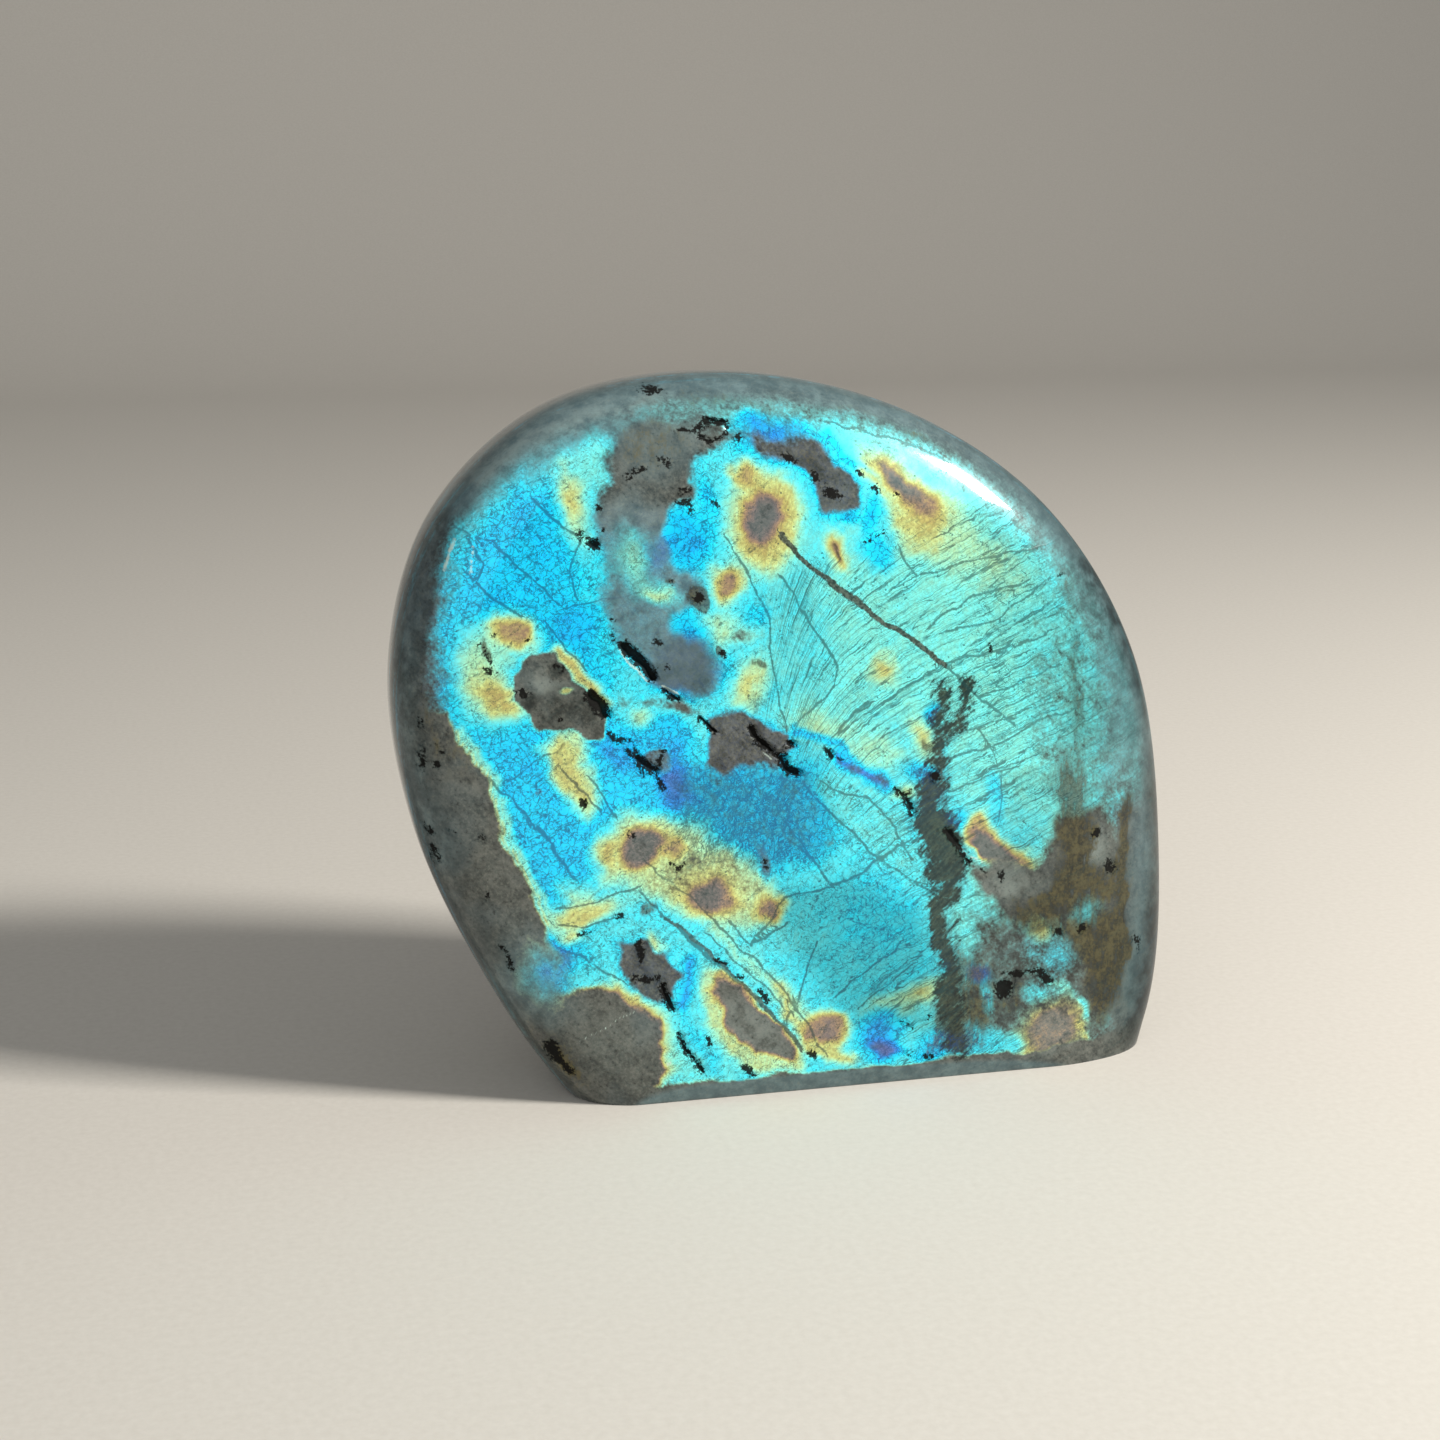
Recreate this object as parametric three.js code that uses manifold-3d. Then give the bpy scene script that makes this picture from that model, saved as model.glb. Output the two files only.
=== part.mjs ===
// A polished labradorite freeform: one natural stone, sawn flat underneath and polished all over.
// Millimetres, +Z up, +X to the right of the face, and the face looks along -Y.
// The origin is on the resting plane, below the middle of the stone.
import * as THREE from 'three';
import { mergeVertices } from 'three/addons/utils/BufferGeometryUtils.js';
import Module from 'manifold-3d';

const wasm = await Module();
wasm.setup();

// Widest outline of the uncut pebble, as [x, z] seen from the front: along the part that is
// sawn away below z = 0, up the right side, over the top and down the leaning left side.
const rimPoints = [
  [-34.3, 0.5], [-20.3, -13.0], [3.7, -17.0], [42.7, -14.0], [54.1, 3.8],
  [56.2, 29.0], [52.3, 57.6], [38.7, 80.2], [17.1, 94.8], [-8.3, 100.6],
  [-32.6, 97.0], [-49.7, 82.5], [-56.5, 62.0], [-54.3, 40.0], [-45.6, 18.7],
];

const faceCentre = { x: -11, z: 52 };   // where the face stands furthest forward
const rimY = -13.5;                     // depth of the widest outline, at the base
const frontDepth = 9;                   // from the widest outline forward to the face
const backDepth = 31;                   // from the widest outline back to the domed back
const crownHeight = 1;                  // how far the middle of the face swells forward
const leanDegrees = 5;                  // the face leans back by this much

// Exponents of the rounding between face and rim: a high number is a tight edge.
const edgeTight = { left: 14, top: 9, right: 7 };
const backRoundness = 2.4;              // 2 is an ellipse, more is a squarer back
const faceSpacing = 1.6;                // above 1 it crowds the rings towards the rim

const columns = 84;
const faceRings = 20;
const backRings = 14;

// The narrow bevel ground along the lower front edge.
const bevel = { y: -21.6, degrees: 18 };
const cutBlock = 300;                   // side of the blocks that take the waste away

// Open pits in the face: [x, z] of the middle, size along and across, depth below the
// face, and the turn of the long side, in degrees anticlockwise from +X.
const pits = [
  { x: -23.6, z: 63.1, length: 8.4, width: 1.9, depth: 1.2, turn: -51 },
  { x: -19.3, z: 58.6, length: 3.2, width: 1.6, depth: 0.9, turn: -30 },
  { x: -14.6, z: 54.1, length: 4.2, width: 1.3, depth: 0.8, turn: -42 },
  { x: -6.5, z: 51.0, length: 7.0, width: 2.0, depth: 1.1, turn: -53 },
  { x: -2.9, z: 47.4, length: 4.4, width: 2.0, depth: 1.0, turn: -38 },
  { x: -2.4, z: 50.3, length: 1.8, width: 1.6, depth: 0.9, turn: 0 },
  { x: -29.4, z: 57.3, length: 4.8, width: 2.2, depth: 1.0, turn: -68 },
  { x: -23.2, z: 48.4, length: 4.4, width: 1.6, depth: 0.8, turn: -60 },
  { x: -29.8, z: 79.9, length: 3.4, width: 1.9, depth: 0.9, turn: -35 },
  { x: -12.6, z: 93.3, length: 6.6, width: 2.6, depth: 0.8, turn: 12 },
  { x: 13.8, z: 41.5, length: 3.0, width: 1.6, depth: 0.8, turn: -60 },
  { x: -22.4, z: 15.6, length: 4.0, width: 1.8, depth: 0.9, turn: -65 },
  { x: -17.2, z: 6.8, length: 7.6, width: 1.5, depth: 0.9, turn: -61 },
];

const rim = new THREE.CatmullRomCurve3(
  rimPoints.map(([x, z]) => new THREE.Vector3(x, 0, z)), true, 'catmullrom', 0.5);

// How tight the edge is where the rim lies in this direction from the face centre.
function edgeExponent(dx, dz) {
  const cosine = dx / Math.hypot(dx, dz);
  const side = cosine < 0 ? edgeTight.left : edgeTight.right;
  return edgeTight.top + (side - edgeTight.top) * Math.abs(cosine);
}

// One point of the pebble: u runs round the rim, and ring from the middle of the face,
// over the rim, to the middle of the back. Face and back are superellipses of the reach,
// which is 0 in the middle and 1 at the rim.
function pebblePoint(u, ring) {
  const edge = rim.getPoint(u);
  const dx = edge.x - faceCentre.x;
  const dz = edge.z - faceCentre.z;
  let reach;
  let y;
  if (ring <= faceRings) {
    reach = 1 - (1 - ring / faceRings) ** faceSpacing;
    const fall = Math.sqrt(Math.max(0, 1 - reach ** edgeExponent(dx, dz)));
    y = -frontDepth * fall - crownHeight * (1 - reach * reach);
  } else {
    const angle = ((ring - faceRings) / backRings) * (Math.PI / 2);
    reach = Math.max(0, Math.cos(angle)) ** (2 / backRoundness);
    y = backDepth * Math.sin(angle) ** (2 / backRoundness);
  }
  const z = faceCentre.z + dz * reach;
  y += rimY + z * Math.tan(THREE.MathUtils.degToRad(leanDegrees));
  return new THREE.Vector3(faceCentre.x + dx * reach, y, z);
}

// A sphere's grid of points, laid over the pebble. Its first pole is the face's middle.
function pebbleGeometry() {
  const geometry = new THREE.SphereGeometry(1, columns, faceRings + backRings);
  const position = geometry.attributes.position;
  for (let i = 0; i < position.count; i += 1) {
    const column = (i % (columns + 1)) % columns;
    const ring = Math.floor(i / (columns + 1));
    const point = pebblePoint(column / columns, ring);
    position.setXYZ(i, point.x, point.y, point.z);
  }
  return geometry;
}

function solidFrom(geometry) {
  geometry.deleteAttribute('normal');
  geometry.deleteAttribute('uv');
  const merged = mergeVertices(geometry, 1e-4);
  return new wasm.Manifold(new wasm.Mesh({
    numProp: 3,
    vertProperties: new Float32Array(merged.attributes.position.array),
    triVerts: new Uint32Array(merged.index.array),
  }));
}

function geometryFrom(solid) {
  const mesh = solid.getMesh();
  const geometry = new THREE.BufferGeometry();
  geometry.setAttribute('position', new THREE.BufferAttribute(mesh.vertProperties, 3));
  geometry.setIndex(new THREE.BufferAttribute(mesh.triVerts, 1));
  geometry.computeVertexNormals();
  return geometry;
}

// Slides the stone along its resting plane until the middle of its box is over the origin.
function overOrigin(geometry) {
  geometry.computeBoundingBox();
  const middle = geometry.boundingBox.getCenter(new THREE.Vector3());
  return geometry.translate(-middle.x, -middle.y, 0);
}

// Everything below the resting plane.
function sawnWaste() {
  const block = new THREE.BoxGeometry(cutBlock, cutBlock, cutBlock);
  block.translate(0, 0, -cutBlock / 2);
  return solidFrom(block);
}

// What lies in front of a plane that leans under the face's lower edge.
function bevelWaste() {
  const block = new THREE.BoxGeometry(cutBlock, cutBlock, cutBlock);
  block.translate(0, -cutBlock / 2, 0);
  block.rotateX(THREE.MathUtils.degToRad(bevel.degrees));
  block.translate(0, bevel.y, 0);
  return solidFrom(block);
}

// A half-sunk ellipsoid, centred on the face where a line from the front meets it.
function pitWaste(pit, face) {
  const ray = new THREE.Raycaster(new THREE.Vector3(pit.x, -cutBlock, pit.z), new THREE.Vector3(0, 1, 0));
  const faceY = ray.intersectObject(face)[0].point.y;
  const bowl = new THREE.SphereGeometry(1, 10, 8);
  bowl.scale(pit.length / 2, pit.depth, pit.width / 2);
  bowl.rotateY(THREE.MathUtils.degToRad(-pit.turn));
  bowl.translate(pit.x, faceY, pit.z);
  return solidFrom(bowl);
}

function stoneGeometry() {
  const pebble = pebbleGeometry();
  const face = new THREE.Mesh(pebble.clone(), new THREE.MeshStandardMaterial());
  let solid = solidFrom(pebble).subtract(sawnWaste()).subtract(bevelWaste());
  for (const pit of pits) {
    solid = solid.subtract(pitWaste(pit, face));
  }
  return overOrigin(geometryFrom(solid));
}

const polishedStone = new THREE.MeshStandardMaterial({ color: 0x4fa9b8, roughness: 0.15, metalness: 0 });
const stone = new THREE.Mesh(stoneGeometry(), polishedStone);
stone.name = 'stone';

const labradorite = new THREE.Group();
labradorite.add(stone);

export default labradorite;
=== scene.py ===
import math
import bpy
import numpy as np
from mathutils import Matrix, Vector


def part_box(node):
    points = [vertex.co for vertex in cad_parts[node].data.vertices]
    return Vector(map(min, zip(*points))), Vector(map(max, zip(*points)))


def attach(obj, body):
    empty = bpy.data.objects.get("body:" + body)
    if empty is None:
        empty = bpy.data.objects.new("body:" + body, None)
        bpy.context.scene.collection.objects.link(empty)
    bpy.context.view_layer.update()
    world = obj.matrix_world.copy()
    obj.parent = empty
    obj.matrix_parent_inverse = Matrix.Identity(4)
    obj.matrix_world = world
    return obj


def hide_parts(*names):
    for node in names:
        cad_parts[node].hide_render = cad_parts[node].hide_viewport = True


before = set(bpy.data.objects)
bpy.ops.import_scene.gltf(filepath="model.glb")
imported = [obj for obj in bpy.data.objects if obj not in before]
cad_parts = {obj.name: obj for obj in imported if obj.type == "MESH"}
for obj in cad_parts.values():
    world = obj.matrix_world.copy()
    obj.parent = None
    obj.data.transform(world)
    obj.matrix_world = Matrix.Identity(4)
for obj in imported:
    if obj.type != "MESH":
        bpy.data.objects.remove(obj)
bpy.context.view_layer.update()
print("frame loaded")

mm = 0.001

# Camera, lights and stage

view = {
    "azimuth": -13.3,          # degrees, seen from the left of straight on
    "elevation": 14.0,
    "distance": 348 * mm,
    "aim": (-8.3 * mm, -1.5 * mm, 50 * mm),
    "lens": 60,                # on a 36 mm sensor
}


def direction(azimuth, elevation):
    # unit vector towards a viewer at this azimuth and elevation, azimuth 0 being straight in front
    a, e = math.radians(azimuth), math.radians(elevation)
    return Vector((math.sin(a) * math.cos(e), -math.cos(a) * math.cos(e), math.sin(e)))


def addCamera():
    camera = bpy.data.objects.new("camera", bpy.data.cameras.new("camera"))
    towards = direction(view["azimuth"], view["elevation"])
    camera.location = Vector(view["aim"]) + towards * view["distance"]
    camera.rotation_euler = towards.to_track_quat("Z", "Y").to_euler()
    camera.data.lens = view["lens"]
    camera.data.sensor_width = 36
    camera.data.clip_start = 0.01
    bpy.context.collection.objects.link(camera)
    bpy.context.scene.camera = camera


lights = [
    {"name": "key", "azimuth": 60, "elevation": 34, "distance": 0.85, "size": 0.15, "power": 9.5,
     "tint": (1.0, 0.97, 0.92)},
    {"name": "fill", "azimuth": -30, "elevation": 24, "distance": 1.2, "size": 1.1, "power": 2.6,
     "tint": (0.95, 0.98, 1.0)},
]


def addLights():
    aim = Vector(view["aim"])
    for light in lights:
        lamp = bpy.data.lights.new(light["name"], "AREA")
        lamp.energy = light["power"]
        lamp.size = light["size"]
        lamp.color = light["tint"]
        holder = bpy.data.objects.new(light["name"], lamp)
        towards = direction(light["azimuth"], light["elevation"])
        holder.location = aim + towards * light["distance"]
        holder.rotation_euler = towards.to_track_quat("Z", "Y").to_euler()
        bpy.context.collection.objects.link(holder)
    world = bpy.data.worlds.new("room")
    world.use_nodes = True
    background = world.node_tree.nodes["Background"]
    background.inputs["Color"].default_value = (0.86, 0.88, 0.9, 1)
    background.inputs["Strength"].default_value = 0.3
    bpy.context.scene.world = world


bpy.context.scene.view_settings.view_transform = "Standard"
addCamera()
addLights()
print("camera and lights ready")


# Shader maths

class Wire:
    # one socket: + - * with numbers or other wires add Math nodes
    def __init__(self, graph, socket):
        self.graph = graph
        self.socket = socket

    def maths(self, operation, first, second):
        return self.graph.node("ShaderNodeMath", {"operation": operation}, {0: first, 1: second})

    def __add__(self, other):
        return self.maths("ADD", self, other)

    def __radd__(self, other):
        return self.maths("ADD", other, self)

    def __sub__(self, other):
        return self.maths("SUBTRACT", self, other)

    def __rsub__(self, other):
        return self.maths("SUBTRACT", other, self)

    def __mul__(self, other):
        return self.maths("MULTIPLY", self, other)

    def __rmul__(self, other):
        return self.maths("MULTIPLY", other, self)

    def clamped(self):
        return self.maths("MINIMUM", self.larger(0.0), 1.0)

    def size(self):
        return self.maths("ABSOLUTE", self, 0.0)

    def exponent(self):
        return self.maths("EXPONENT", self, 0.0)

    def larger(self, other):
        return self.maths("MAXIMUM", self, other)


class Graph:
    # the node tree of one material
    def __init__(self, name):
        self.material = bpy.data.materials.new(name)
        self.material.use_nodes = True
        self.tree = self.material.node_tree
        self.shader = self.tree.nodes["Principled BSDF"]

    def node(self, kind, settings=None, values=None, out=0):
        made = self.tree.nodes.new(kind)
        for key, setting in (settings or {}).items():
            if key == "stops":
                self.setStops(made.color_ramp, setting)
            else:
                setattr(made, key, setting)
        for key, value in (values or {}).items():
            self.feed(made.inputs[key], value)
        return Wire(self, made.outputs[out])

    def setStops(self, ramp, stops):
        while len(ramp.elements) < len(stops):
            ramp.elements.new(0.5)
        for element, (place, colour) in zip(ramp.elements, stops):
            element.position = place
            element.color = (*colour, 1)

    def feed(self, socket, value):
        if isinstance(value, Wire):
            self.tree.links.new(value.socket, socket)
        else:
            socket.default_value = value

    def attribute(self, name):
        return self.node("ShaderNodeAttribute", {"attribute_name": name}, out="Fac")

    def smooth(self, value, low, high):
        # 0 below low, 1 above high, an S-curve between; low may be above high
        return self.node("ShaderNodeMapRange", {"interpolation_type": "SMOOTHSTEP"},
                         {"Value": value, "From Min": low, "From Max": high})

    def mix(self, factor, first, second, blend="MIX"):
        return self.node("ShaderNodeMix", {"data_type": "RGBA", "blend_type": blend, "clamp_factor": True},
                         {0: factor, 6: first, 7: second}, out=2)

    def noise(self, place, scale, detail=2.0, rough=0.5, distort=0.0):
        return self.node("ShaderNodeTexNoise", None,
                         {"Vector": place, "Scale": scale, "Detail": detail, "Roughness": rough,
                          "Distortion": distort})

    def grain(self, place, degrees, along, across, detail=3.0):
        # noise drawn out in one direction, degrees anticlockwise from the right as seen from the front
        turned = self.mapped(place, turn=(0, math.radians(degrees), 0))
        return self.noise(self.mapped(turned, scale=(along, 1, across)), 1.0, detail, 0.62)

    def mapped(self, place, turn=(0, 0, 0), scale=(1, 1, 1)):
        return self.node("ShaderNodeMapping", None, {"Vector": place, "Rotation": turn, "Scale": scale})

    def warped(self, place, scale, amount):
        # pushes a place about by a colour noise, so straight things wander
        drift = self.node("ShaderNodeTexNoise", None, {"Vector": place, "Scale": scale, "Detail": 2.0},
                          out="Color")
        centred = self.node("ShaderNodeVectorMath", {"operation": "SUBTRACT"}, {0: drift, 1: (0.5, 0.5, 0.5)})
        pushed = self.node("ShaderNodeVectorMath", {"operation": "SCALE"}, {0: centred, "Scale": amount})
        return self.node("ShaderNodeVectorMath", {"operation": "ADD"}, {0: place, 1: pushed})


def paint(red, green, blue):
    # screen colour 0 to 255 as linear light
    shares = np.array([red, green, blue]) / 255
    return tuple(np.where(shares < 0.04045, shares / 12.92, ((shares + 0.055) / 1.055) ** 2.4))


def solid(red, green, blue):
    return (*paint(red, green, blue), 1)


# The stone's shape, the same as the CAD solid's, all in millimetres

shape = {
    "rimPoints": [
        (-34.3, 0.5), (-20.3, -13.0), (3.7, -17.0), (42.7, -14.0), (54.1, 3.8),
        (56.2, 29.0), (52.3, 57.6), (38.7, 80.2), (17.1, 94.8), (-8.3, 100.6),
        (-32.6, 97.0), (-49.7, 82.5), (-56.5, 62.0), (-54.3, 40.0), (-45.6, 18.7),
    ],
    "faceCentre": (-11.0, 52.0),
    "rimY": -13.5,
    "frontDepth": 9.0,
    "backDepth": 31.0,
    "crownHeight": 1.0,
    "leanDegrees": 5.0,
    "edgeTight": {"left": 14, "top": 9, "right": 7},
    "backRoundness": 2.4,
    "faceSpacing": 1.4,
    "columns": 480,
    "faceRings": 168,
    "backRings": 36,
    "bevelY": -21.6,
    "bevelDegrees": 18,
    "baseSoftness": 0.35,      # radius of the worn base edge
    "bevelSoftness": 0.22,
}


def rimCurve(u):
    # closed Catmull-Rom curve through the rim points: each span is a cubic whose end slopes
    # are half the step between the neighbours
    points = np.array(shape["rimPoints"])
    count = len(points)
    span = np.floor(u * count).astype(int) % count
    t = (u * count % 1.0)[:, None]
    before, start, end, after = (points[(span + step) % count] for step in (-1, 0, 1, 2))
    return 0.5 * (2 * start + (end - before) * t + (2 * before - 5 * start + 4 * end - after) * t ** 2
                  + (3 * start - before - 3 * end + after) * t ** 3)


def pebble():
    # rings by columns of points: reach runs from 0 in the middle of the face to 1 at the rim and back;
    # depth is a superellipse of reach, tight in front and round behind; the whole leans back
    u = np.arange(shape["columns"]) / shape["columns"]
    centre = np.array(shape["faceCentre"])
    spoke = rimCurve(u) - centre
    cosine = spoke[:, 0] / np.hypot(spoke[:, 0], spoke[:, 1])
    tight = shape["edgeTight"]
    side = np.where(cosine < 0, tight["left"], tight["right"])
    exponent = tight["top"] + (side - tight["top"]) * np.abs(cosine)

    w = np.linspace(0, 1, shape["faceRings"] + 1)[:, None]
    reachFront = (1 - (1 - w) ** shape["faceSpacing"]) * np.ones_like(cosine)
    fall = np.sqrt(np.clip(1 - reachFront ** exponent, 0, 1))
    depthFront = -shape["frontDepth"] * fall - shape["crownHeight"] * (1 - reachFront ** 2)

    angle = np.linspace(0, np.pi / 2, shape["backRings"] + 1)[1:, None] * np.ones_like(cosine)
    power = 2 / shape["backRoundness"]
    reachBack = np.clip(np.cos(angle), 0, 1) ** power
    depthBack = shape["backDepth"] * np.sin(angle) ** power

    reach = np.vstack([reachFront, reachBack])
    depth = np.vstack([depthFront, depthBack])
    x = centre[0] + spoke[:, 0] * reach
    z = centre[1] + spoke[:, 1] * reach
    y = depth + shape["rimY"] + z * math.tan(math.radians(shape["leanDegrees"]))
    front = np.arange(len(reach))[:, None] <= shape["faceRings"]
    return x, y, z, reach, front * np.ones_like(reach)


def softAbove(value, softness):
    # 0 below, the value itself above, with a parabola of this softness between
    middle = (value + softness) ** 2 / (4 * softness)
    return np.where(value < -softness, 0.0, np.where(value > softness, value, middle))


# Patterns on the face: noise and the distance to listed shapes, in millimetres

dice = np.random.RandomState(11).rand(32, 32, 32)


def wander(x, y, z, scale):
    # smooth noise from -1 to 1: random values at the corners of a lattice, blended by S-curves
    total = 0
    cells = []
    for value, shift in ((x, 3.7), (y, 11.3), (z, 19.1)):
        place = value / scale + shift
        low = np.floor(place).astype(int)
        part = place - low
        cells.append((low, part * part * (3 - 2 * part)))
    for i in (0, 1):
        for j in (0, 1):
            for k in (0, 1):
                weight = 1
                corner = []
                for (low, part), step in zip(cells, (i, j, k)):
                    weight = weight * (part if step else 1 - part)
                    corner.append((low + step) % 32)
                total = total + weight * dice[corner[0], corner[1], corner[2]]
    return total * 2 - 1


def toSegment(x, z, start, end):
    # distance to a straight stretch, found by clamping the foot of the perpendicular
    dx, dz = end[0] - start[0], end[1] - start[1]
    along = np.clip(((x - start[0]) * dx + (z - start[1]) * dz) / (dx * dx + dz * dz), 0, 1)
    return np.hypot(x - start[0] - along * dx, z - start[1] - along * dz)


def oval(x, z, width, height, turn=0, **extra):
    # an ellipse: its middle, its two diameters and its turn in degrees
    return {"at": (x, z), "size": (width, height), "turn": turn, **extra}


def streak(width, *line, **extra):
    # a bent line with a width
    return {"line": line, "width": width, **extra}


def area(*outline, **extra):
    # all that lies inside an outline
    return {"outline": outline, **extra}


def gapTo(mark, x, z):
    # distance to a mark's edge, negative inside it: an ellipse, a line with a width, or an outline
    if "size" in mark:
        turn = math.radians(mark["turn"])
        dx, dz = x - mark["at"][0], z - mark["at"][1]
        along = (dx * math.cos(turn) + dz * math.sin(turn)) / (mark["size"][0] / 2)
        across = (dz * math.cos(turn) - dx * math.sin(turn)) / (mark["size"][1] / 2)
        return (np.hypot(along, across) - 1) * min(mark["size"]) / 2
    if "line" in mark:
        stretches = zip(mark["line"][:-1], mark["line"][1:])
        gaps = [toSegment(x, z, start, end) for start, end in stretches]
        return np.minimum.reduce(gaps) - mark["width"] / 2
    points = mark["outline"]
    gap = np.full_like(x, 1e9)
    inside = np.zeros(x.shape, bool)
    for start, end in zip(points, points[1:] + points[:1]):
        gap = np.minimum(gap, toSegment(x, z, start, end))
        crosses = (start[1] > z) != (end[1] > z)
        rise = end[1] - start[1] if end[1] != start[1] else 1e-9
        inside ^= crosses & (x < start[0] + (z - start[1]) * (end[0] - start[0]) / rise)
    return np.where(inside, -gap, gap)


def nearLine(points, x, z):
    # distance to the nearest stretch of a line, signed by the side it is on
    nearest = np.full_like(x, 1e9)
    for start, end in zip(points[:-1], points[1:]):
        distance = toSegment(x, z, start, end)
        left = (end[0] - start[0]) * (z - start[1]) - (end[1] - start[1]) * (x - start[0]) > 0
        nearest = np.where(distance < np.abs(nearest), np.where(left, distance, -distance), nearest)
    return nearest


def cover(gap, soft):
    # 1 inside, 0 outside, an S-curve as wide as soft across the edge
    t = np.clip(0.5 - gap / soft, 0, 1)
    return t * t * (3 - 2 * t)


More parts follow.
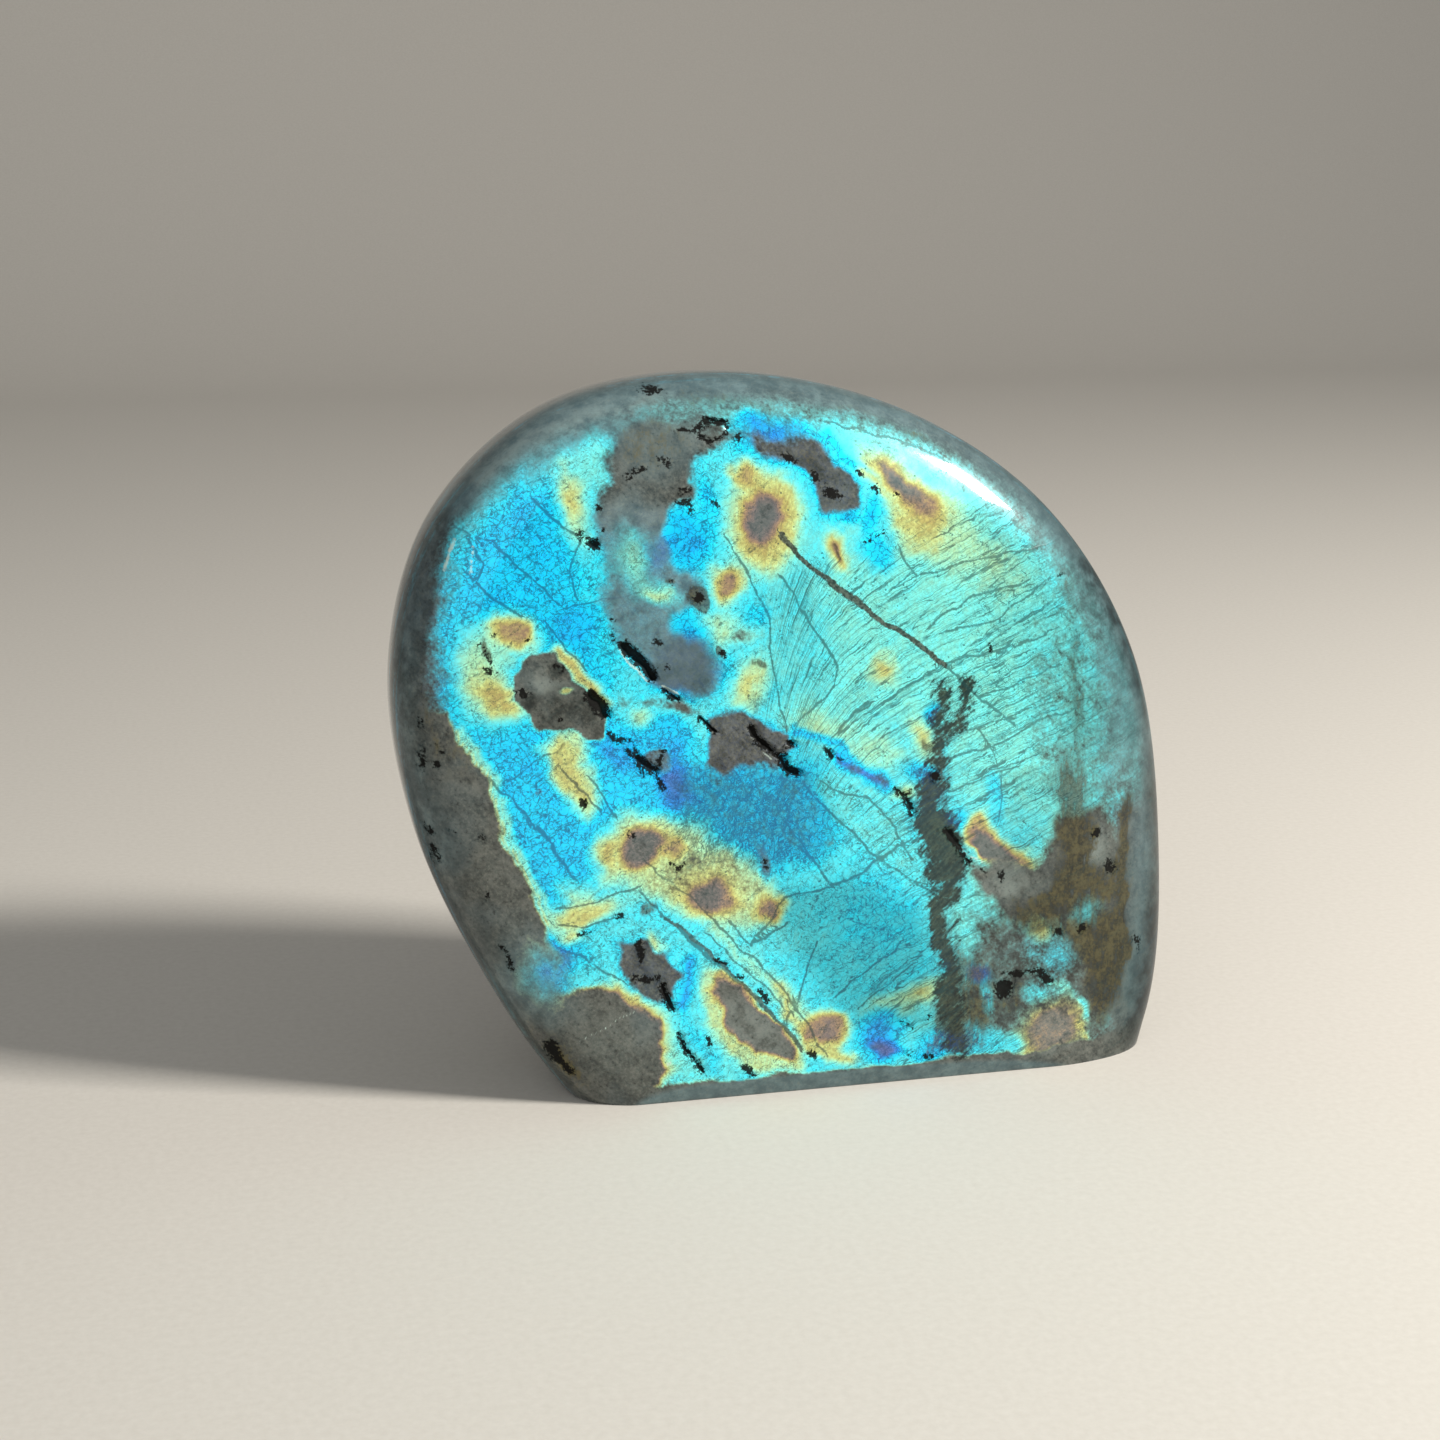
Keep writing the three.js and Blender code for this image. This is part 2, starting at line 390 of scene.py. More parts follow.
# hue runs 0 grey, 0.1 tan, 0.2 gold, 0.3 yellow, 0.4 pale green, 0.5 mint, 0.6 aqua, 0.7 cyan, 0.8 azure,
# 0.9 blue, 1 violet. flash is how much of it shows over the grey body. Each row gives the softness of the
# mark's edge, its hue, its flash and its shape. None leaves what is there, and later rows lie on top.
faceMarks = {
    # the area of the face that flashes at all
    "flashingArea": (9, None, 1, area((-49, 74), (-47, 82), (-42, 88.5), (-34, 93.5), (-25, 97),
        (-12, 100), (2, 99), (13, 96.5), (23, 91), (31, 85), (39, 77), (44, 68), (46, 55), (45, 42),
        (45, 28), (46, 12), (44, -3), (20, -6), (-12, -6), (-20, 3), (-23, 13), (-34, 18), (-40, 28),
        (-44, 40), (-46, 49), (-49, 56), (-50.5, 66))),
    # broad fields
    "azureField": (9, 0.8, None, area((-52, 60), (-50, 75), (-40, 92), (-32, 84), (-30, 72), (-26, 60),
        (-17, 48), (-8, 45), (2, 43), (5, 36), (-6, 33), (-16, 38), (-28, 36), (-30, 22), (-42, 22),
        (-46, 45))),
    "brightAzure": (6, 0.8, 1, area((-45, 76), (-42, 84), (-36, 86), (-34, 76), (-30, 66), (-38, 68),
        (-46, 70))),
    "lowAzure": (5, 0.8, 1, area((-45, 54), (-36, 52), (-36, 40), (-34, 30), (-37, 25), (-40, 34),
        (-43, 44))),
    "mutedMiddle": (5, 0.72, 0.17, area((-31, 83), (-28, 76), (-30, 71), (-26, 65), (-22, 60),
        (-13, 57.5), (-11, 63), (-13, 70), (-14, 77), (-19, 83), (-24, 85))),
    "greyTop": (4, None, 0.05, area((-29, 82), (-28, 90), (-25, 95), (-14, 97), (-8.4, 93), (-11.6, 88),
        (-14.6, 83.6), (-19, 80.5), (-24, 81))),
    "paleTop": (6, 0.66, 0.2, oval(-33, 92.5, 22, 7, 25)),
    "mintField": (8, 0.54, None, area((6, 78), (14, 78), (26, 78), (38, 66), (42, 50), (40, 36), (30, 38),
        (22, 42), (18, 50), (4, 54), (-4, 60), (-6, 70))),
    "mutedMint": (8, 0.56, 0.42, oval(38, 52, 13, 34, 8)),
    "paleGreen": (7, 0.43, 1, oval(25, 76, 17, 8, -32)),
    "aquaFan": (5, 0.6, 0.78, oval(-1, 66, 9, 18, 20)),
    "aquaFoot": (6, 0.66, None, area((-6, 32), (4, 34), (15, 40), (17, 28), (18, 14), (8, 10), (-2, 14),
        (-12, 24))),
    "blueMiddle": (6, 0.8, 0.5, area((-20, 50), (-14, 50), (-8, 50), (0, 47), (4, 41), (2, 35), (-7, 33),
        (-15, 38), (-20, 42))),
    "cyanBand": (1.6, 0.6, 1, area((0.5, 45), (5, 46.5), (10, 42), (15, 37), (18, 30), (15, 29),
        (10, 33.5), (4, 39.5))),
    "aquaRight": (5, 0.7, None, oval(10, 26, 12, 12)),
    "tealCorner": (6, 0.58, 0.75, oval(25, 21.5, 8.5, 10, 10)),
    # cyan, azure and violet patches
    "topFade": (8, 0.58, 0.34, area((-20, 96), (-8, 94), (2, 92.6), (10, 90.6), (18, 87), (27, 81),
        (35, 72.5), (41, 62), (43, 50), (44, 38), (60, 38), (60, 70), (45, 90), (20, 106), (-20, 106))),
    "rimOff": (7, None, 0.04, streak(9, (-30, 99), (-16, 102), (0, 102.5), (20, 98), (35, 88), (45, 76),
        (52, 62), (56, 48), (57, 30), (56, 5))),
    "rimMuted": (9, 0.56, 0.16, streak(3, (-45, 87), (-30, 96.5), (-10, 100), (5, 99), (18, 95),
        (30, 86.5), (40, 76), (46, 64), (48, 50))),
    "mutedCorner": (7, 0.56, 0.12, area((24, 25), (30, 24), (38, 22), (46, 20), (48, 2), (30, 1), (20, 3),
        (22, 12))),
    "topHaze": (4, 0.86, 0.3, oval(-3.4, 91.8, 10, 6)),
    "azureDrop": (3, 0.84, 1, oval(-32.5, 67.5, 5, 7, -35)),
    "azureByGrey": (2.5, 0.86, 1, oval(-28, 50.5, 4, 8, 50)),
    "azureUnderSlit": (3, 0.83, 1, oval(-20.5, 52, 6, 6)),
    "violetCloud": (4, 0.94, 0.5, oval(-19.3, 46, 4, 7, 10)),
    "azureCrown": (3, 0.84, 0.95, oval(-16.2, 79.5, 6.5, 8, 20)),
    "azureFlank": (2.5, 0.82, 0.7, oval(-13.5, 85, 2, 6, 15)),
    "cyanCrown": (3, 0.64, 0.9, oval(-12.3, 88, 5, 3.5, 30)),
    "azureStep": (2.5, 0.8, 1, oval(-16, 67, 5, 4, -20)),
    "mintStep": (3, 0.5, 1, oval(-12.8, 67.6, 5, 3, -30)),
    "cyanSpot": (2.5, 0.74, 1, oval(-7.2, 68.6, 2.4, 3.6, 10)),
    "topBlue": (2.5, 0.88, 0.6, oval(-4.5, 94, 8, 2.6, -4)),
    "deepBlue": (2.5, 0.87, 1, oval(10.4, 81, 3.6, 4.4)),
    "deepBlueFoot": (3, 0.77, 1, oval(10.6, 76.6, 4, 5, 20)),
    "blueStep": (2, 0.85, 1, oval(5.8, 81.2, 3, 1.8, -20)),
    "eyeCyanRight": (2, 0.66, 1, oval(0.8, 84.6, 2.2, 7, 24)),
    "seamBlue": (1.5, 0.85, 1, oval(18, 53, 1.8, 3.4, -10)),
    "seamAzure": (2, 0.84, 1, oval(15.6, 45.4, 4, 2.6, -20)),
    "arcAzure": (2, 0.76, 1, oval(21.3, 38.2, 3, 3)),
    "creamRight": (3, 0.56, 1, oval(23, 45, 4.5, 10, 12)),
    "cyanRight": (2, 0.7, 1, oval(27.3, 41, 2.6, 7, 16)),
    "footCyan": (3, 0.64, 1, oval(-28, 23.5, 8, 6)),
    "hazeBlue": (4, 0.92, 0.35, oval(-37.5, 22, 6, 6)),
    "starCyan": (3, 0.62, 1, oval(-6, 23, 15, 5, -10)),
    "tanStepCyan": (2, 0.66, 1, oval(-11.5, 26.3, 3.2, 4, -40)),
    # greens and yellows
    "paleRidge": (3, 0.44, 0.95, oval(-31.6, 84, 4, 10, 8)),
    "goldRidge": (2.4, 0.25, 0.95, oval(-32, 85, 1.9, 5, 5)),
    "mintShoulder": (4, 0.55, 0.75, oval(-28.7, 89.5, 4, 6)),
    "greenVeil": (4, 0.45, 0.6, oval(-24.3, 77, 3, 7, 10)),
    "greenDrop": (3, 0.36, 0.75, oval(-20.2, 72.2, 4.6, 2.6, -25)),
    "paleStep": (3, 0.42, 0.9, oval(-12, 65, 3.4, 7, -30)),
    "yellowStep": (3.6, 0.3, 0.75, oval(-8.6, 58.6, 3, 6.4, -28)),
    "creamVeil": (4, 0.44, 0.95, oval(2.5, 52.5, 12, 4.5, -22)),
    "creamVeilEnd": (4, 0.46, 0.95, oval(10, 48.5, 8, 5, -30)),
    "seamOlive": (3, 0.3, 0.7, oval(16.5, 50, 2.4, 5, 15)),
    "paleField": (5, 0.4, 0.95, oval(-44.5, 61.5, 7, 12, 12)),
    "mintGap": (2.5, 0.46, 0.9, oval(-23.8, 55.2, 3.4, 3.4)),
    "tanMeadow": (4, 0.42, 0.62, area((-30, 38), (-26, 42), (-18, 41), (-12, 36), (-5, 32), (-6, 25),
        (-13, 25), (-18, 29), (-27, 32), (-35, 33), (-35, 25), (-30, 29))),
    "tanBelt": (4, 0.34, 0.4, oval(-15, 31.5, 18, 8, -18)),
    "tanLeft": (3, 0.22, 0.75, oval(-28, 37, 4, 4)),
    "yellowWedge": (3.2, 0.44, 1, streak(1.6, (-14, 25.5), (-9, 20), (-4.5, 15), (0, 11))),
    "yellowWedgeLow": (2.2, 0.27, 1, streak(1.2, (-5.5, 16), (-1.5, 10))),
    "belowSeam": (2.5, 0.34, 0.8, oval(13.3, 42, 3, 2)),
    # gold and tan eyes: the hue falls to grey in the middle, so rings of colour form round it
    "goldEyeHalo": (3, 0.4, 1, oval(-5.4, 81, 10.6, 14.5)),
    "goldEye": (3, 0.24, 0.9, oval(-5.3, 81, 7.6, 11.5)),
    "goldEyeLobe": (2, 0.2, 0.7, oval(-8.2, 87.3, 3.4, 3)),
    "goldEyeCore": (2.4, 0, 0.5, oval(-5.8, 81.7, 4.2, 5.2, 10)),
    "tanSpotHalo": (2.4, 0.4, 1, oval(-10.9, 73, 5, 6)),
    "tanSpot": (2, 0.17, 0.9, oval(-10.8, 73, 3.2, 4.2)),
    "amberHalo": (1.8, 0.33, 1, oval(4.6, 77, 2.9, 5.4, 18)),
    "amber": (1, 0.1, 0.8, oval(4.7, 76.8, 1, 3.2, 18)),
    "rightGoldHalo": (5, 0.36, 0.85, oval(17, 80.5, 11, 9, -20)),
    "rightGold": (4, 0.28, 0.9, oval(17.4, 80, 7, 6.5, -20)),
    "rightGoldTop": (3.5, 0.06, 0.22, oval(14.2, 85.7, 10, 3.4, -45)),
    "paleEdge": (1.2, 0.35, 1, streak(1.1, (8.5, 87.3), (11.5, 84.8), (13.8, 82))),
    "leftGoldHalo": (2.4, 0.38, 1, oval(-40.8, 67, 7.4, 6, -20)),
    "leftGold": (2, 0.17, 1, oval(-40.6, 67.2, 4.6, 3.6, -20)),
    "lowLeftGold": (2.4, 0.24, 1, oval(-42.6, 58.8, 7.4, 3.6, -42)),
    "lanternHalo": (2.6, 0.4, 1, area((-37.4, 52), (-34.6, 54.4), (-31.4, 53), (-29.6, 48.5),
        (-29.4, 44.6), (-31.2, 41.6), (-34.4, 44.6), (-36, 48.6))),
    "lantern": (2.2, 0.28, 1, area((-36, 51.4), (-34.4, 53), (-32.4, 52), (-30.9, 48.4), (-30.8, 45),
        (-31.6, 43.8), (-33.6, 45.8), (-35.2, 48.6))),
    "tanTongue": (2.6, 0.28, 0.8, oval(-32.4, 28.4, 11, 3.6, 12)),
    "creamTip": (2, 0.3, 1, oval(-34, 25, 3, 1.6, -20)),
    "lilacHalo": (2.6, 0.33, 0.6, oval(-23.2, 37, 9.5, 7.6, 20)),
    "lilacCore": (2.2, 0, 0.35, oval(-23.6, 37, 5.6, 5.4, 40)),
    "lilacSpark": (1.6, 0.19, 1, oval(-19.3, 36.9, 2.4, 2.4, -30)),
    "rustCoreRing": (2.4, 0.28, 0.55, oval(-15, 29.6, 9.5, 6.4)),
    "rustCore": (2.2, 0.05, 0.4, oval(-15, 29.2, 6.2, 3.6, 8)),
    "smallEyeRing": (2, 0.25, 0.9, oval(-5.6, 27.8, 5.4, 5)),
    "smallEye": (1.8, 0.07, 0.5, oval(-5.8, 27.8, 2.6, 2.8)),
    "mintSpot": (2.6, 0.26, 0.85, oval(11.3, 60, 2.4, 3.4)),
    "footRing": (2.2, 0.27, 1, oval(2.4, 8.6, 7.4, 6.8)),
    "footCore": (2.2, 0.1, 0.85, oval(2.2, 9.2, 5.6, 4)),
    "footYellow": (1.6, 0.3, 1, streak(1.8, (1, 7.2), (3.5, 5.3), (6, 4.5))),
    "oliveFoot": (3, 0.28, 0.45, oval(16.6, 13.2, 5.5, 2.6, 15)),
    "tanFoot": (3, 0.35, 0.8, oval(11.3, 12, 4.5, 2.6, 10)),
    # grey windows with no flash, and their coloured rims
    "wedgeRim": (2, 0.37, 1, area((-14.5, 19.5), (-9.5, 16.5), (-4.5, 11), (-0.5, 6), (-1, 3),
        (-7.5, 3.6), (-12, 6.6), (-15, 11), (-15.6, 16.5))),
    "wedge": (1.5, 0, 0.12, area((-13.6, 18), (-10, 16.2), (-5.2, 11.2), (-1.6, 6.8), (-2.4, 5),
        (-6.6, 6.6), (-11.6, 9.6), (-12.4, 12.6), (-14.3, 16))),
    "wedgeTan": (1.6, 0.13, 0.7, streak(0.7, (-13, 18.4), (-10, 16.6), (-8, 14.6))),
    "cornerRim": (2.6, 0.38, 0.95, area((-28.6, 16), (-28, 18.8), (-27, 18.3), (-24.5, 16), (-21.8, 13.2),
        (-20.3, 10), (-19.3, 6), (-21, 3), (-28, 4), (-29, 12))),
    "corner": (1.6, 0, 0.05, area((-36, 17.2), (-30.3, 18.2), (-27.4, 17.2), (-25, 14.8), (-22.7, 12.2),
        (-21.6, 9.6), (-20.9, 6), (-22, 1), (-34, 1), (-40, 10))),
    "rightArc": (2.2, 0.19, 1, area((22, 34.6), (23.4, 38), (25, 39), (27, 36.8), (30, 34.5),
        (34.5, 31.6), (33, 29), (27, 31.5))),
    "rightArcCore": (1.3, 0, 0.2, area((23.3, 34.3), (24.6, 36.7), (27, 35.2), (30, 33), (34, 30.2),
        (33, 27), (27, 30.5))),
    "fieldFar": (10, 0.58, 0.22, streak(5, (40, 80), (46, 68), (48.5, 54), (48, 42))),
    "stemFade": (5, None, 0.4, streak(2, (41.4, 64), (41.6, 54), (41.6, 44))),
    "rightGrey": (3, 0.5, 0.05, area((22, 32), (28, 31.5), (33, 31), (37, 37), (44, 38), (50, 30),
        (50, 8), (44, 8), (40, 16), (38, 22), (30, 22.5), (25, 26.5))),
    "tealWindow": (4, 0.62, 0.5, oval(42.3, 22.6, 4, 3.6)),
    "tealLow": (4, 0.66, 0.3, oval(37, 17, 8, 5, -20)),
    "goldFleck": (2, 0.3, 0.5, oval(34.5, 21.8, 2.4, 4, 20)),
    "lilacFleck": (2, 1, 0.35, oval(25.2, 15.8, 3.4, 2.4, -20)),
    "squareSideCyan": (1.4, 0.7, 0.9, oval(26.6, 12, 1.2, 4.2, 10)),
    "mintFleck": (1.6, 0.5, 0.6, streak(0.6, (36.8, 13.2), (40.5, 10.5))),
    "cyanFleck": (2.4, 0.62, 0.45, oval(34.4, 12, 4.4, 2.4, -15)),
    "cornerTan": (4, 0.12, 0.3, oval(36.8, 6, 11, 8)),
    "cornerTanEdge": (1.4, 0.24, 0.9, streak(0.5, (41.2, 6), (42.6, 3.2))),
    "cornerTanFoot": (1.4, 0.26, 0.9, streak(0.7, (31.6, 2.6), (33.2, 3.2))),
    "cornerCyan": (2.4, 0.64, 0.95, oval(29.4, 4.4, 4.4, 3.6)),
    "cornerCyanTop": (1.4, 0.62, 0.8, streak(0.8, (41.6, 9), (42.8, 6.8))),
    "footAzure": (3, 0.86, 0.95, oval(10.4, 8, 5, 7, -20)),
    "footViolet": (2, 1, 0.4, oval(10.9, 5.2, 3.4, 2.6)),
    "footAzureTwo": (3, 0.8, 0.6, oval(18.2, 5, 7, 5)),
    "footBusy": (3, 0.7, 0.75, oval(24.6, 5.2, 6, 5)),
    "borderPale": (1.6, 0.46, 1, streak(0.9, (-47.6, 55), (-45.6, 50.5), (-44.1, 47), (-43, 43.7),
        (-42.3, 39.7), (-40.5, 36), (-39, 32.5), (-35.6, 25.5))),
    "borderGold": (0.9, 0.26, 0.7, streak(0.35, (-48.4, 55), (-46.4, 50.5), (-44.9, 47), (-43.8, 43.7),
        (-43.1, 39.7), (-41.3, 36), (-39.9, 32.5), (-37.4, 27))),
    "borderGrey": (1.3, 0.1, 0, area((-49.6, 57), (-48.6, 54), (-46.7, 50), (-45.2, 46.5), (-44.1, 43),
        (-43.4, 39), (-41.6, 35.5), (-40.2, 32), (-38.2, 27), (-36, 22), (-36, 10), (-60, 10),
        (-60, 57))),
    "hazeOver": (6, 0.86, 0.34, oval(-37.6, 20, 6, 9, 20)),
    "footEdge": (0.6, 0.4, 0, area((-21, 2.6), (-14, 2.9), (20, 3), (45, 3.2), (49, 4.5), (60, 4),
        (60, -20), (-40, -20), (-40, 2))),
    "patchD": (2, 0.75, 0, area((-27.3, 23.5), (-24, 24.3), (-20.6, 22.5), (-19.3, 19.8), (-17.5, 19),
        (-19, 16.7), (-19.6, 15), (-22.8, 14.6), (-25, 16), (-26.8, 19.5))),
    "patchDEdge": (1.4, 0.22, 0.9, streak(0.8, (-28.2, 17.8), (-26.8, 17.2), (-25.5, 16))),
    "patchDBlue": (2, 0.9, 1, streak(1.5, (-17.2, 20.4), (-17.6, 17), (-18.6, 13.6))),
    "patchDCyan": (1.8, 0.7, 1, streak(2, (-18, 12), (-16.6, 9.4), (-14.6, 6.4), (-14, 4))),
    "patchDYellow": (1.6, 0.36, 0.8, oval(-21.8, 23.4, 2.4, 1.6, -40)),
    "patchARim": (2, 0.24, 1, streak(1.9, (-35, 64.2), (-33, 62.8), (-30, 60.3), (-28.6, 57.6))),
    "patchA": (0.7, 0.5, 0, area((-40, 62.6), (-38.2, 64.8), (-35.5, 64.4), (-33.3, 62), (-30.6, 59.6),
        (-29, 57), (-28.2, 55), (-28.4, 52.3), (-31.3, 52.2), (-34.2, 54), (-37.5, 54.3), (-39.2, 56.7),
        (-41, 59.8))),
    "patchAFleck": (0.8, 0.28, 0.7, oval(-33.8, 60, 1.4, 1.2)),
    "patchB": (1.8, 0.8, 0, area((-14.8, 55.3), (-10, 55.3), (-7, 54.2), (-5, 52.2), (-2.7, 52.2),
        (-2.3, 49.4), (-4.3, 47.5), (-7.2, 48.4), (-11.3, 47.3), (-14.5, 48.9), (-14.6, 52.2))),
    "violetPatch": (4.6, 0.9, 0.12, oval(-17, 62, 9.5, 7.6, 10)),
    "greyStep": (1.6, 0.6, 0.1, oval(-18.2, 56.4, 5, 2.2, -15)),
    "greyStepTwo": (1.6, 0.6, 0.25, oval(-22.7, 57.2, 3.4, 1.4, 5)),
    "tealVeil": (2.6, 0.6, 0.4, oval(-26, 57, 3, 5)),
    "patchCArm": (2.4, None, 0.1, streak(2.4, (-5.4, 91), (-1, 90.4), (2, 90))),
    "patchC": (1.5, 0.8, 0.04, area((-4.5, 91.5), (1.4, 92), (4.4, 88.6), (8.3, 85), (7.6, 82), (2.7, 82),
        (1.3, 85.5), (-0.6, 88.4))),
    "patchCEdge": (1.8, 0.78, 1, streak(1.4, (3.6, 92), (5, 90.2), (7.2, 88.4))),
    "branchGrey": (1.4, 0.8, 0.15, oval(-22, 48.8, 4.4, 3.6, -40)),
    "softGreyOne": (2.6, 0.9, 0.3, oval(-20.4, 77.4, 3.6, 4)),
    "softGreyTwo": (1.8, 0.5, 0.35, oval(-8.5, 65.2, 2.8, 2.4)),
    "softGreyThree": (1.4, 0.8, 0.2, oval(-6, 33.7, 2.2, 3.4)),
    "softGreyFour": (1, 0.7, 0.2, oval(2.8, 36.3, 1.4, 1.3)),
    "violetRun": (2.4, 0.93, 0.3, streak(2, (4.4, 47.6), (8.4, 45.6), (11, 43.4))),
    "azureRun": (1.2, 0.82, 1, streak(1.1, (-1.8, 52.4), (1, 50.8), (4.4, 49.6), (6, 47.5))),
}
